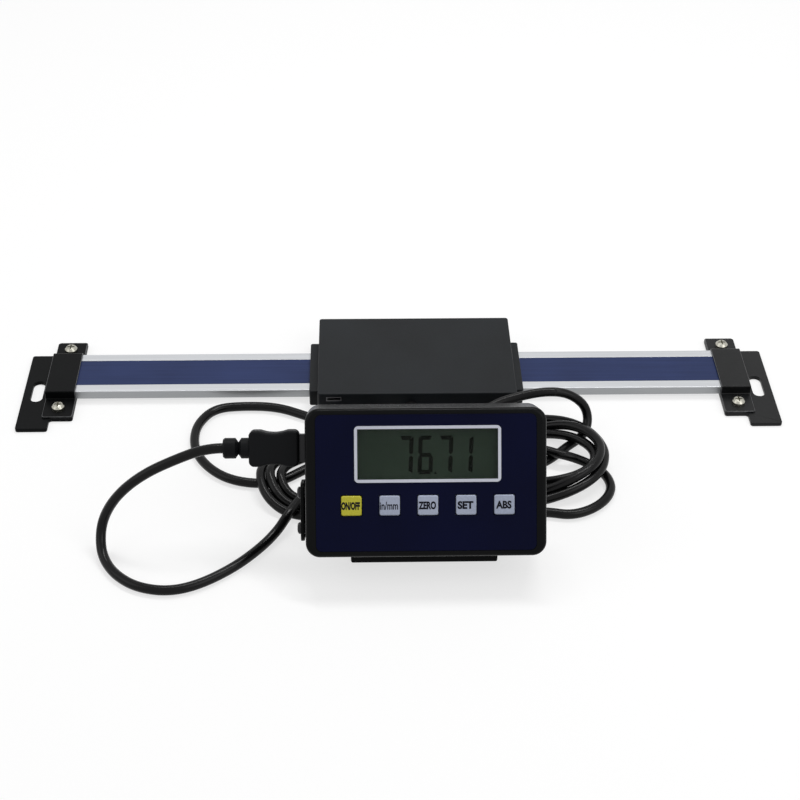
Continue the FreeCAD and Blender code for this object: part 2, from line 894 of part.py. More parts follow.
def make_cover():
    """The box on the slider: thick flanks, a notch for the slider and a hollow above it."""
    made = body("cover")
    tall = "cover_top - cover_bottom"
    pad(made, rectangle(sketch(made, offset="cover_bottom"), "cover_length", "cover_width"), tall)
    round_edges(made, "cover_corner", lambda edge: runs_along(edge, Z_AXIS))
    round_edges(made, "cover_edge", lambda edge: level(edge, "cover_top"))
    notch = rectangle(sketch(made, offset="head_top"), "2 * cover_length", "head_width + 2 * cover_gap")
    pocket(made, notch, "head_top - cover_bottom")
    hollow = rectangle(sketch(made, offset="cover_top - cover_roof"), "cavity_long", "cavity_wide")
    pocket(made, hollow, "cover_top - cover_roof - head_top")
    for side in (1, -1):
        face = f"{side} * cover_face"
        rows = cover_screw_rows(front=side > 0)
        bores = circles(sketch(made, "XZ_Plane", face), "cover_screw_r + hole_gap", rows)
        pocket(made, bores, "block_deep", back=side < 0)
        seats = circles(sketch(made, "XZ_Plane", face), "cover_head_r + hole_gap", rows)
        pocket(made, seats, "cover_head_high", back=side < 0)
    gland = [("gland_x", "gland_z")]
    pocket(
        made, circles(sketch(made, "XZ_Plane", "cover_face"), "gland_r + hole_gap", gland), "gland_deep"
    )
    wires = circles(sketch(made, "XZ_Plane", "cover_face"), "gland_r / 2", gland)
    pocket(made, wires, "block_deep + cover_wall + cover_gap")
    port = rectangle(
        sketch(made, "XZ_Plane", "cover_face"),
        "port_long + 2 * port_gap",
        "port_high + 2 * port_gap",
        ("-port_x", "port_z"),
    )
    pocket(made, port, "port_deep")
    bolts = [(f"{i} * head_hole_pitch / 2", "head_hole_z") for i in (-1, 1)]
    rear = circles(sketch(made, "XZ_Plane", "-cover_face"), "head_hole_r", bolts)
    pocket(made, rear, "head_hole_deep", back=True)
    node("head_cover", made, head_frame())


def make_head_insides():
    corner = ("-head_board_long / 2", "-head_board_wide / 2", "head_board_z")
    plain = block("head_board_blank", ("head_board_long", "head_board_wide", "board_thick"), corner)
    spots = [(f"{i} * standoff_x", f"{j} * standoff_y") for i in (-1, 1) for j in (-1, 1)]
    holes = [
        rod("head_board_hole", "small_screw_r + hole_gap", "board_thick", (x, y, "head_board_z"))
        for x, y in spots
    ]
    node("head_board", cut("head_board_cut", plain, holes), head_frame())

    seat = "head_board_z + board_thick"
    reach = "board_thick + small_screw_bite - screw_end_gap"
    made = [
        screw(
            "head_board_screw",
            "small_screw_r",
            reach,
            "small_screw_head_r",
            "small_screw_head_high",
            (x, y, seat),
            Z_AXIS,
        )
        for x, y in spots
    ]
    node("head_board_screws", group("head_board_screw_set", made), head_frame())

    long, wide = "window_long - 2 * sensor_gap", "window_wide - 2 * sensor_gap"
    low = "beam_top + sensor_height"
    chip = block(
        "sensor_chip",
        (long, wide, f"head_board_z - ({low})"),
        (f"-({long}) / 2", f"-({wide}) / 2", low),
    )
    node("magnetic_sensor", chip, head_frame())


def make_head_fittings():
    face = "-cover_face"
    left = "-port_x - port_long / 2"
    low = "port_z - port_high / 2"
    shell = block("port_shell", ("port_long", "port_deep", "port_high"), (left, face, low))
    mouth = block(
        "port_mouth",
        ("port_long - 2 * port_skin", "port_deep - port_back", "port_high - 2 * port_skin"),
        (f"{left} + port_skin", face, f"{low} + port_skin"),
    )
    node("head_data_port", cut("port_cut", shell, [mouth]), head_frame())

    made = []
    reach = "block_deep - cover_head_high + cover_screw_bite - screw_end_gap"
    for side, axis in ((-1, -Y_AXIS), (1, Y_AXIS)):
        for x, z in cover_screw_rows(front=side < 0):
            base = (x, f"{side} * (cover_face - cover_head_high)", z)
            made.append(
                screw(
                    "cover_screw", "cover_screw_r", reach, "cover_head_r", "cover_head_high", base, axis
                )
            )
    node("head_cover_screws", group("cover_screw_set", made), head_frame())

    gland = body("gland")
    drawn = outline(
        sketch(gland, "XY_Plane"),
        [
            ("0", "gland_deep"),
            ("gland_r", "gland_deep"),
            ("gland_r", "0"),
            ("gland_collar_r", "0"),
            ("gland_collar_r", "-0.5 * gland_collar_high"),
            ("0.8 * gland_collar_r", "-gland_collar_high"),
            ("0", "-gland_collar_high"),
        ],
    )
    revolve(gland, drawn, "V_Axis")
    spot = Vector(value("gland_x"), value("-cover_face"), value("gland_z"))
    node("head_cable_gland", gland, head_frame().multiply(Placement(spot, Rotation())))


# The readout, built flat in its own frame


def button_spots():
    return [(f"face_shift + {i} * button_pitch", "button_v") for i in range(-2, 3)]


def face_openings(owner, offset, depth):
    """The window and the button holes, through a sheet of the readout's face."""
    drawn = rectangle(sketch(owner, offset=offset), "view_width", "view_height", ("face_shift", "view_v"))
    pocket(owner, drawn, depth)
    drawn = sketch(owner, offset=offset)
    for spot in button_spots():
        rectangle(drawn, "button_width + 2 * button_gap", "button_height + 2 * button_gap", spot)
    pocket(owner, drawn, depth)


def corner_spots(x, low, high):
    return [(f"{i} * {x}", v) for i in (-1, 1) for v in (low, high)]


def make_front_case():
    made = body("front_case")
    middle = ("0", "case_mid")
    ring = rectangle(
        sketch(made, offset="back_depth"), "case_width", "case_height", middle, "case_corner"
    )
    pad(made, ring, "case_depth - back_depth")
    round_edges(made, "case_edge", lambda edge: level(edge, "case_depth"))
    inside = rectangle(
        sketch(made, offset="front_inner"),
        "case_width - 2 * case_wall",
        "case_height - 2 * case_wall",
        middle,
        "case_corner - case_wall",
    )
    pocket(made, inside, "front_inner - back_depth")
    posts = corner_spots("post_x", "post_low", "post_high")
    pad(made, circles(sketch(made, offset="back_depth"), "post_r", posts), "front_inner - back_depth")
    bite = circles(
        sketch(made, offset="back_depth + case_screw_bite"), "case_screw_r + thread_gap", posts
    )
    pocket(made, bite, "case_screw_bite")
    pillars = corner_spots("pillar_x", "pillar_low", "pillar_high")
    pad(
        made,
        circles(sketch(made, offset="board_front"), "pillar_r", pillars),
        "front_inner - board_front",
    )
    bite = circles(
        sketch(made, offset="board_front + small_screw_bite"), "small_screw_r + thread_gap", pillars
    )
    pocket(made, bite, "small_screw_bite")
    recess = rectangle(
        sketch(made, offset="case_depth"),
        "overlay_width + 2 * overlay_gap",
        "overlay_height + 2 * overlay_gap",
        middle,
        "overlay_corner",
    )
    pocket(made, recess, "overlay_thick")
    face_openings(made, "case_depth", "case_front_wall")
    node("display_front_case", made, lean_frame())


def make_face():
    overlay = body("overlay")
    low = "case_depth - overlay_thick"
    middle = ("0", "case_mid")
    sheet_ = rectangle(
        sketch(overlay, offset=low), "overlay_width", "overlay_height", middle, "overlay_corner"
    )
    pad(overlay, sheet_, "overlay_thick")
    face_openings(overlay, "case_depth", "overlay_thick")
    node("face_overlay", overlay, lean_frame())

    bezel = body("bezel")
    window = ("face_shift", "view_v")
    frame = rectangle(
        sketch(bezel, offset="case_depth"),
        "view_width + 2 * bezel_band",
        "view_height + 2 * bezel_band",
        window,
        "bezel_corner",
    )
    pad(bezel, frame, "bezel_thick")
    hole = rectangle(
        sketch(bezel, offset="case_depth + bezel_thick"), "view_width", "view_height", window
    )
    pocket(bezel, hole, "bezel_thick")
    node("lcd_bezel", bezel, lean_frame())

    lens_wide, lens_tall = "view_width - 2 * lens_gap", "view_height - 2 * lens_gap"
    lens = block(
        "lens",
        (lens_wide, lens_tall, "case_front_wall - lens_sink"),
        (f"face_shift - ({lens_wide}) / 2", f"view_v - ({lens_tall}) / 2", "front_inner"),
    )
    node("lcd_window", lens, lean_frame())

    wide = "view_width + 2 * panel_margin"
    tall = "view_height + 2 * panel_margin"
    half = "panel_thick / 2"
    corner = (f"face_shift - ({wide}) / 2", f"view_v - ({tall}) / 2")
    upper = block("upper_glass", (wide, tall, half), (*corner, f"front_inner - {half}"))
    lower = block(
        "lower_glass",
        (wide, f"{tall} + panel_ledge", half),
        (corner[0], f"{corner[1]} - panel_ledge", "front_inner - panel_thick"),
    )
    node("lcd_panel", fuse("panel_pair", [upper, lower]), lean_frame())

    gap = "front_inner - panel_thick - board_front"
    strips = [
        block("contact_strip", (wide, "strip_foot", gap), (corner[0], v, "board_front"))
        for v in (f"{corner[1]} - panel_ledge", f"view_v + ({tall}) / 2 - strip_foot")
    ]
    node("lcd_contact_strips", group("contact_strip_pair", strips), lean_frame())


def make_buttons():
    names = ("on_off", "units", "zero", "set", "abs")
    for name, (x, v) in zip(names, button_spots()):
        made = body(f"{name}_key")
        wide = ("button_width + 2 * button_flange", "button_height + 2 * button_flange")
        foot = rectangle(
            sketch(made, offset="button_foot"), "button_width", "button_height", (x, v), "button_corner"
        )
        pad(made, foot, "case_depth + button_proud - button_foot")
        round_edges(made, "button_edge", lambda edge: level(edge, "case_depth + button_proud"))
        flange = rectangle(
            sketch(made, offset="button_shoulder - button_flange_thick"), *wide, (x, v), "button_corner"
        )
        pad(made, flange, "button_flange_thick")
        node(f"button_{name}", made, lean_frame())


def make_display_board():
    wide, tall = "display_board_width", "display_board_height"
    blank = block(
        "display_blank",
        (wide, tall, "board_thick"),
        (f"-{wide} / 2", f"case_mid - {tall} / 2", "display_board_z"),
    )
    spots = corner_spots("pillar_x", "pillar_low", "pillar_high")
    holes = [
        rod("display_hole", "small_screw_r + hole_gap", "board_thick", (x, v, "display_board_z"))
        for x, v in spots
    ]
    node("display_board", cut("display_board_cut", blank, holes), lean_frame())
    reach = "board_thick + small_screw_bite - screw_end_gap"
    made = [
        screw(
            "board_screw",
            "small_screw_r",
            reach,
            "small_screw_head_r",
            "small_screw_head_high",
            (x, v, "display_board_z"),
            -Z_AXIS,
        )
        for x, v in spots
    ]
    node("display_board_screws", group("board_screw_set", made), lean_frame())
    long, high = "5 * button_pitch - pad_short", "button_height + 2 * pad_margin"
    pad_ = block(
        "keypad",
        (long, high, "pad_thick"),
        (f"face_shift - ({long}) / 2", f"button_v - ({high}) / 2", "board_front"),
    )
    node("button_pad", pad_, lean_frame())


def make_back_case():
    made = body("back_case")
    middle = ("0", "case_mid")
    pad(made, rectangle(sketch(made), "case_width", "case_height", middle, "case_corner"), "back_depth")
    round_edges(made, "case_back_edge", lambda edge: level(edge, "0"))
    inside = rectangle(
        sketch(made, offset="back_depth"),
        "case_width - 2 * case_wall",
        "case_height - 2 * case_wall",
        middle,
        "case_corner - case_wall",
    )
    pocket(made, inside, "back_depth - case_back_wall")
    bay = ("0", "bay_v")
    tub = rectangle(
        sketch(made, offset="case_back_wall"), "bay_long + 2 * bay_wall", "bay_tall + 2 * bay_wall", bay
    )
    pad(made, tub, "bay_top + bay_roof - case_back_wall")
    posts = corner_spots("post_x", "post_low", "post_high")
    pad(
        made,
        circles(sketch(made, offset="case_back_wall"), "post_r", posts),
        "back_depth - case_back_wall",
    )
    stand = [(f"{i} * stand_screw_x", "stand_screw_v") for i in (-1, 1)]
    pad(made, circles(sketch(made, offset="case_back_wall"), "boss_r", stand), "stand_screw_bite")
    ears = [("ear_screw_low", "ear_screw_z"), ("ear_screw_high", "ear_screw_z")]
    wall = "-(case_left - case_wall)"
    pad(made, circles(sketch(made, "YZ_Plane", wall), "boss_r", ears), "stand_screw_bite - case_wall")
    pocket(made, rectangle(sketch(made, offset="bay_top"), "bay_long", "bay_tall", bay), "bay_top")
    sill = "door_thick + door_gap"
    tall = "case_height + case_wall - door_bottom"
    recess = rectangle(
        sketch(made, offset=sill), "door_width + 2 * door_gap", tall, (
            "0", f"door_bottom + ({tall}) / 2 - door_gap"
        )
    )
    pocket(made, recess, sill)
    grooves = rectangle(
        sketch(made, offset="tongue_low + tongue_thick + door_gap"),
        "door_width + 2 * (tongue_reach + 2 * door_gap)",
        tall,
        ("0", f"door_bottom + ({tall}) / 2 - door_gap"),
    )
    pocket(made, grooves, "tongue_thick + 2 * door_gap")
    pocket(
        made, circles(sketch(made, offset="back_depth"), "case_screw_r + hole_gap", posts), "back_depth"
    )
    seat = "case_head_high + case_head_sink"
    pocket(made, circles(sketch(made, offset=seat), "case_head_r + hole_gap", posts), seat)
    bite = "case_back_wall + stand_screw_bite"
    pocket(made, circles(sketch(made, offset=bite), "stand_screw_r + thread_gap", stand), bite)
    bite = "stand_screw_bite - case_wall"
    drawn = circles(sketch(made, "YZ_Plane", f"{wall} + {bite}"), "stand_screw_r + thread_gap", ears)
    pocket(made, drawn, "stand_screw_bite")
    mouth = rectangle(
        sketch(made, "YZ_Plane", wall),
        "shell_tall + 2 * shell_gap",
        "shell_thick + 2 * shell_gap",
        ("plug_v", "plug_z"),
    )
    pocket(made, mouth, "case_wall")
    node("display_back_case", made, lean_frame())

    seated = [
        screw(
            "case_screw",
            "case_screw_r",
            f"back_depth - ({seat}) + case_screw_bite - screw_end_gap",
            "case_head_r",
            "case_head_high",
            (x, v, seat),
            -Z_AXIS,
        )
        for x, v in posts
    ]
    node("case_screws", group("case_screw_set", seated), lean_frame())


def make_battery():
    cells, springs = [], []
    for turn, v in ((1, "bay_v + cell_v"), (-1, "bay_v - cell_v")):
        far = "cell_span / 2"
        flat = f"{turn} * ({far} - nub_high - cell_length)"
        axis = X_AXIS * turn
        can = rod("cell_can", "cell_r", "cell_length", (flat, v, "cell_z"), axis)
        nub = rod("cell_nub", "nub_r", "nub_high", (f"{turn} * ({far} - nub_high)", v, "cell_z"), axis)
        cells.append(fuse("cell", [can, nub]))
        springs.append(
            rod(
                "cell_spring",
                "contact_spring_r",
                "contact_spring",
                (f"-{turn} * {far}", v, "cell_z"),
                axis,
            )
        )
    node("battery_cells", group("cell_pair", cells), lean_frame())
    tall = "4 * cell_r + cell_gap"
    plates = []
    for x in ("-bay_long / 2", "bay_long / 2 - contact_thick"):
        corner = (x, f"bay_v - ({tall}) / 2", "cell_z - cell_r")
        plates.append(block("contact_plate", ("contact_thick", tall, "2 * cell_r"), corner))
    joined = [fuse("contact", [plate, spring]) for plate, spring in zip(plates, springs)]
    node("battery_contacts", group("contact_pair", joined), lean_frame())

    door = body("door")
    tall = "case_height - door_bottom"
    pad(
        door,
        rectangle(sketch(door), "door_width", tall, ("0", f"door_bottom + ({tall}) / 2")),
        "door_thick",
    )
    top = value("case_height")
    round_edges(
        door,
        "min(case_back_edge; door_thick - 2 * door_gap)",
        lambda edge: runs_along(edge, X_AXIS) and level(edge, "0") and edge.BoundBox.YMin > top - NEAR,
    )
    side = "case_height - door_bottom - tongue_short"
    tongues = rectangle(
        sketch(door, offset="tongue_low"), "door_width + 2 * tongue_reach", side, (
            "0", f"door_bottom + ({side}) / 2"
        )
    )
    pad(door, tongues, "tongue_thick")
    drawn = sketch(door, offset="ridge_deep")
    for i in range(5):
        middle = f"door_bottom + ridge_edge + {2 * i} * ridge_wide"
        rectangle(drawn, "ridge_long", "ridge_wide", ("0", middle))
    pocket(door, drawn, "ridge_deep")
    node("battery_door", door, lean_frame())


def make_socket_and_plug():
    high = "shell_tall + 2 * (shell_gap + socket_wall)"
    thick = "shell_thick + 2 * (shell_gap + socket_wall)"
    inner = "-(case_left - case_wall)"
    housing = block(
        "socket_block",
        ("socket_deep", high, thick),
        (inner, f"plug_v - ({high}) / 2", f"plug_z - ({thick}) / 2"),
    )
    tall, flat = "shell_tall + 2 * shell_gap", "shell_thick + 2 * shell_gap"
    throat = block(
        "socket_throat",
        ("socket_deep - socket_back", tall, flat),
        (inner, f"plug_v - ({tall}) / 2", f"plug_z - ({flat}) / 2"),
    )
    node("display_socket", cut("socket_cut", housing, [throat]), lean_frame())

    long = "plug_stand_off + case_wall + shell_reach"
    shell = block(
        "shell_tongue",
        (long, "shell_tall", "shell_thick"),
        ("-plug_face", "plug_v - shell_tall / 2", "plug_z - shell_thick / 2"),
    )
    node("plug_shell", shell, lean_frame(), cord=True)

    grip = body("grip")
    along = "-(plug_face + grip_length / 2)"
    drawn = rectangle(
        sketch(grip, offset="plug_z"), "grip_length", "grip_tall", (along, "plug_v"), "grip_corner"
    )
    pad(grip, drawn, "grip_thick", midplane=True)
    away = "grip_tall / 2 + grip_scoop_r - grip_scoop_deep"
    scoops = [(along, f"plug_v + {away}"), (along, f"plug_v - ({away})")]
    drawn = circles(sketch(grip, offset="plug_z"), "grip_scoop_r", scoops)
    pocket(grip, drawn, "2 * grip_thick", midplane=True)
    middle, straight = value(along), value("grip_length / 2 - grip_corner")

    def ends_scoop(edge):
        return runs_along(edge, Z_AXIS) and abs(edge.BoundBox.XMin - middle) < straight - NEAR

    round_edges(grip, "grip_scoop_blend", ends_scoop)
    faces = ("plug_z + grip_thick / 2", "plug_z - grip_thick / 2")
    round_edges(grip, "grip_edge", lambda edge: any(level(edge, face) for face in faces))
    node("plug_grip", grip, lean_frame(), cord=True)

    neck = body("neck")
    profile = [
        ("0", "0"),
        ("0", "neck_r"),
        ("-(neck_notch_at - neck_notch_wide / 2)", "neck_r"),
        ("-neck_notch_at", "neck_r - neck_notch_deep"),
        ("-(neck_notch_at + neck_notch_wide / 2)", "neck_r"),
        ("-(neck_length - neck_chamfer)", "neck_r"),
        ("-neck_length", "neck_tip_r"),
        ("-neck_length", "0"),
    ]
    revolve(neck, outline(sketch(neck), profile), "H_Axis")
    spot = Vector(value("-grip_end"), value("plug_v"), value("plug_z"))
    node("plug_strain_relief", neck, lean_frame().multiply(Placement(spot, Rotation())), cord=True)


def make_stand():
    """A plate folded to a sharp angle, with an arm that turns forward beside the case."""
    fold = body("stand_fold")
    rise = "stand_high"
    thick = "stand_thick"
    drawn = outline(
        sketch(fold, "YZ_Plane", "display_x"),
        [
            ("bend_y", "0"),
            ("bend_y + foot_length", "0"),
            ("bend_y + foot_length", thick),
            (f"bend_y + {thick} / cos(lean) + {thick} * tan(lean)", thick),
            (
                f"display_y + {rise} * sin(lean) + {thick} * cos(lean)",
                f"display_lift + {rise} * cos(lean) - {thick} * sin(lean)",
            ),
            (f"display_y + {rise} * sin(lean)", f"display_lift + {rise} * cos(lean)"),
        ],
    )
    pad(fold, drawn, "stand_width", midplane=True)
    back = value("bend_y + foot_length")
    round_edges(
        fold,
        "stand_corner",
        lambda edge: runs_along(edge, Z_AXIS) and edge.BoundBox.YMin > back - NEAR,
    )
    root = value("bend_y")
    round_edges(
        fold,
        "foot_bend",
        lambda edge: runs_along(edge, X_AXIS) and edge.BoundBox.YMin < root + NEAR,
    )
    corners = []
    corner, tall = "foot_corner", "2 * foot_corner"
    for side in (-1, 1):
        end = f"display_x + {side} * stand_width / 2"
        low = f"{end} - max(0; {side}) * {corner}"
        square = block("corner_square", (corner, corner, tall), (low, "bend_y", "0"))
        middle = (f"{end} - {side} * {corner}", f"bend_y + {corner}", "0")
        corners.append(cut("corner_waste", square, [rod("corner_round", corner, tall, middle)]))

    arm = body("stand_arm")
    drawn = outline(
        sketch(arm, "XZ_Plane", "-(ear_low + ear_high) / 2"),
        [
            ("-stand_width / 2 + arm_root", "-stand_thick"),
            ("-stand_width / 2 + arm_root", "0"),
            ("-ear_in", "0"),
            ("-ear_in", "ear_front"),
            ("-ear_out", "ear_front"),
            ("-ear_out", "-stand_thick"),
        ],
    )
    pad(arm, drawn, "ear_high - ear_low", midplane=True)
    front = value("ear_front")
    round_edges(
        arm,
        "ear_corner",
        lambda edge: runs_along(edge, X_AXIS) and edge.BoundBox.ZMin > front - NEAR,
    )
    outside = value("ear_out")

    def is_ear_fold(edge):
        low = level(edge, "-stand_thick")
        return runs_along(edge, Y_AXIS) and low and edge.BoundBox.XMin < NEAR - outside

    round_edges(arm, "stand_bend", is_ear_fold)
    ears = [("ear_screw_low", "ear_screw_z"), ("ear_screw_high", "ear_screw_z")]
    pocket(
        arm,
        circles(sketch(arm, "YZ_Plane", "-ear_in"), "stand_screw_r + hole_gap", ears),
        "stand_thick",
    )
    rear = [(f"{i} * stand_screw_x", "stand_screw_v", "-2 * stand_thick") for i in (-1, 1)]
    bores = [
        leaned(rod("stand_bore", "stand_screw_r + hole_gap", "3 * stand_thick", at)) for at in rear
    ]
    node("stand_bracket", cut("stand_cut", fuse("stand_plate", [fold, leaned(arm)]), bores + corners))

    long = "stand_screw_bite + stand_thick - screw_end_gap"
    sizes = ("stand_screw_r", long, "stand_head_r", "stand_head_high")
    made = [screw("rear_screw", *sizes, (x, v, "-stand_thick"), -Z_AXIS) for x, v, _ in rear]
    node("stand_rear_screws", group("rear_screw_pair", made), lean_frame())
    sizes = ("stand_screw_r", f"{long} + ear_gap", "stand_head_r", "stand_head_high")
    made = [screw("ear_screw", *sizes, ("-ear_out", v, z), -X_AXIS) for v, z in ears]
    node("stand_ear_screws", group("ear_screw_pair", made), lean_frame())
    made = []
    for v, z in ears:
        disc = rod("washer_disc", "stand_head_r", "ear_gap", ("-ear_in", v, z), X_AXIS)
        hole = rod("washer_hole", "stand_screw_r + hole_gap", "ear_gap", ("-ear_in", v, z), X_AXIS)
        made.append(cut("washer", disc, [hole]))
    node("stand_ear_washers", group("washer_pair", made), lean_frame())


# The cord


def tube(name, points, radius):
    """A round tube along straight runs joined by the largest tangent arcs that they leave room for."""
    spots = [Vector(*point) for point in points]
    edges, radii = [], []
    at = spots[0]
    for before, corner, after in zip(spots, spots[1:], spots[2:]):
        into, out = (corner - before), (after - corner)
        reach = BEND_SHARE * min(into.Length, out.Length)
        into.normalize()
        out.normalize()
        turn = into.getAngle(out)
        bend_r = reach / math.tan(turn / 2)
        radii.append(bend_r)
        begin, end = corner - into * reach, corner + out * reach
        inward = (out - into).normalize()
        middle = corner + inward * (bend_r / math.cos(turn / 2) - bend_r)
        edges.append(Part.LineSegment(at, begin).toShape())
        edges.append(Part.Arc(begin, middle, end).toShape())
        at = end
    edges.append(Part.LineSegment(at, spots[-1]).toShape())
    path = Part.Wire(edges)
    section = Part.Wire([Part.Circle(spots[0], spots[1] - spots[0], radius).toShape()])
    solid = path.makePipeShell([section], True, True)
    expected = math.pi * radius**2 * path.Length
    print(f"{name}: length {path.Length:.1f}, radii {min(radii):.1f} to {max(radii):.1f}, "
          f"volume share {solid.Volume / expected:.4f}")
    return solid


def make_cord():
    coil = body("coil")
    middle = ("coil_x", "coil_y")
    pad(coil, stadium(sketch(coil), "coil_length", "coil_width", middle), "coil_high")
    long, wide = "coil_length - 2 * coil_band", "coil_width - 2 * coil_band"
    inside = stadium(sketch(coil, offset="coil_high"), long, wide, middle)
    pocket(coil, inside, "coil_high")
    node("cord_coil", coil, cord=True)

    gland = Vector(
        value("head_offset + gland_x"), value("-cover_face - gland_collar_high"), value("gland_z")
    )
    neck = lean_frame().multVec(Vector(value("-neck_end"), value("plug_v"), value("plug_z")))
    run = value("exit_run")
    routes = {
        "cord_head_lead": [gland, gland - Y_AXIS * run] + HEAD_LEAD_ROUTE,
        "cord_display_lead": [neck, neck - X_AXIS * run] + DISPLAY_LEAD_ROUTE,
        "cord_left_loop": LEFT_LOOP_ROUTE,
    }
    for name, points in routes.items():
        piece = doc.addObject("Part::Feature", f"{name}_tube")
        piece.Shape = tube(name, points, value("cord_r")).cut(coil.Shape)
        node(name, piece, cord=True)


def centre_footprint():
    """Move every piece so that the middle of the footprint, less the cord, is the origin."""
    shift = Placement(Vector(0, -value("middle_y"), 0), Rotation())
    for thing in nodes.values():
        thing.Placement = shift.multiply(thing.Placement)
    print(f"moved by {-value('middle_y'):.4f} along Y")
    doc.recompute()


def write_parts():
    for thing in doc.Objects:
        if {"Invalid", "Error"} & set(thing.State):
            raise RuntimeError(f"{thing.Label} failed: {thing.State}")
    for label, thing in nodes.items():
        if thing.Shape.isNull() or not thing.Shape.isValid() or not thing.Shape.Solids:
            raise RuntimeError(f"{label} has no valid solid")
    os.makedirs("parts", exist_ok=True)
    for label, thing in nodes.items():
        thing.Shape.exportStep(f"parts/{label}.step")
    print(f"{len(nodes)} nodes")


fill_sheet()
make_beam()
make_bracket("left", -1)
make_bracket("right", 1)
make_clamp_screws()
make_slider()
make_wear_strips()
make_cover()
make_head_insides()
make_head_fittings()
make_front_case()
make_face()
make_buttons()
make_display_board()
make_back_case()
make_battery()
make_socket_and_plug()
make_stand()
doc.recompute()
make_cord()
centre_footprint()
write_parts()
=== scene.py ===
import math
from collections import namedtuple

import bmesh
import bpy
from mathutils import Matrix, Vector


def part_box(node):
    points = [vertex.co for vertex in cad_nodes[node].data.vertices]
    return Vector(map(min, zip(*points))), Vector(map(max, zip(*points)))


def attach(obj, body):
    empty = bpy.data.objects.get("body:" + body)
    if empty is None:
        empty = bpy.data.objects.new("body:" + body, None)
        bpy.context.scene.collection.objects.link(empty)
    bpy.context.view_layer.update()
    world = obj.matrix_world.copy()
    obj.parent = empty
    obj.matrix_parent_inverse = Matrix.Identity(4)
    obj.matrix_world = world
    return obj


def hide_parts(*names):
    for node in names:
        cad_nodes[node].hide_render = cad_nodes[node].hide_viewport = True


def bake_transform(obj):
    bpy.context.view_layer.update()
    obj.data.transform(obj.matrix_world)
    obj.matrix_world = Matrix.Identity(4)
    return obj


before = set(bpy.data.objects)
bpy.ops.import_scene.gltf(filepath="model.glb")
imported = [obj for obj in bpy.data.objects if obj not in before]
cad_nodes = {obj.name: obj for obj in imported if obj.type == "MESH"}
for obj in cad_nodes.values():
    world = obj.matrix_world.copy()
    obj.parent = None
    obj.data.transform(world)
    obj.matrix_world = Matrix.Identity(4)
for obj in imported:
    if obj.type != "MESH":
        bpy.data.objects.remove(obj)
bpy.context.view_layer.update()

ROOT = "scale_and_readout"

# Every size below is in millimetres from the middle of the beam, as in the drawings of the part.
MM = 0.001
beam_low, beam_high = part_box("beam")
BEAM_Y = (beam_low[1] + beam_high[1]) / 2

# The readout leans back on its stand; its own axes are x across, v up the back and w out of the face.
LEAN = math.radians(34)
READOUT_CORNER = (7.8, -120.3, 5.5)
# What is on the face sits this far to the right of the case's middle.
FACE_SHIFT = 0.65
CORD_D = 4.2


def at(x, y, z):
    """A place on the scale, in metres in the shared frame."""
    return Vector((x * MM, y * MM + BEAM_Y, z * MM))


def on_readout(x, v, w):
    """A place on the leaning readout, in metres in the shared frame."""
    x0, y0, z0 = READOUT_CORNER
    y = v * math.sin(LEAN) - w * math.cos(LEAN)
    z = v * math.cos(LEAN) + w * math.sin(LEAN)
    return at(x0 + x, y0 + y, z0 + z)


def linear(colour):
    """An sRGB hex colour as linear RGBA."""
    parts = [int(colour[i : i + 2], 16) / 255 for i in (1, 3, 5)]
    return [p / 12.92 if p <= 0.04045 else ((p + 0.055) / 1.055) ** 2.4 for p in parts] + [1.0]


def spaced(size):
    """The texture scale that puts a pattern's features this many millimetres apart."""
    return 1 / (size * MM)


def add(tree, kind, sockets=None, **settings):
    """One shader node with its settings; a socket takes a value or another node's output."""
    made = tree.nodes.new("ShaderNode" + kind)
    for name, setting in settings.items():
        setattr(made, name, setting)
    for name, source in (sockets or {}).items():
        if isinstance(source, bpy.types.NodeSocket):
            tree.links.new(source, made.inputs[name])
        else:
            made.inputs[name].default_value = source
    return made


def start_finish(name, **uniform):
    """A material whose shader has these uniform values, with its tree and the shader."""
    finish = bpy.data.materials.new(name)
    finish.use_nodes = True
    shader = finish.node_tree.nodes["Principled BSDF"]
    for socket, level in uniform.items():
        shader.inputs[socket.replace("_", " ")].default_value = level
    return finish, finish.node_tree, shader


# Two noises added together run mostly between these.
NOISE_LOW, NOISE_HIGH = 0.7, 1.3


def grained(name, dark, light, size, rough, depth, run=(1, 1, 1), patch=30, **uniform):
    """A finish whose colour, gloss and height follow a grain of this size, over wide soft patches.
    run stretches the grain along an axis; depth is the height of the grain in millimetres."""
    finish, tree, shader = start_finish(name, **uniform)
    place = add(tree, "TexCoord")
    along = add(tree, "Mapping", {"Vector": place.outputs["Object"], "Scale": [1 / r for r in run]})
    grain = add(tree, "TexNoise", {"Vector": along.outputs[0], "Scale": spaced(size), "Detail": 3})
    cloud = add(tree, "TexNoise", {"Vector": place.outputs["Object"], "Scale": spaced(patch), "Detail": 2})
    both = add(tree, "Math", {0: grain.outputs[0], 1: cloud.outputs[0]}, operation="ADD")
    share = add(
        tree, "MapRange", {"Value": both.outputs[0], "From Min": NOISE_LOW, "From Max": NOISE_HIGH}
    )
    colour = add(tree, "Mix", {0: share.outputs[0], 6: linear(dark), 7: linear(light)}, data_type="RGBA")
    gloss = add(tree, "MapRange", {"Value": share.outputs[0], "To Min": rough[0], "To Max": rough[1]})
    bump = add(tree, "Bump", {"Height": grain.outputs[0], "Strength": 1.0, "Distance": depth * MM})
    tree.links.new(colour.outputs[2], shader.inputs["Base Color"])
    tree.links.new(gloss.outputs[0], shader.inputs["Roughness"])
    tree.links.new(bump.outputs[0], shader.inputs["Normal"])
    return finish


# Anodised aluminium, blasted and dyed black: a fine even tooth and a soft grey sheen.
black_anodised = grained(
    "black_anodised_aluminium", "#17191b", "#1f2225", 0.7, (0.36, 0.46), 0.012, Specular_IOR_Level=0.12
)
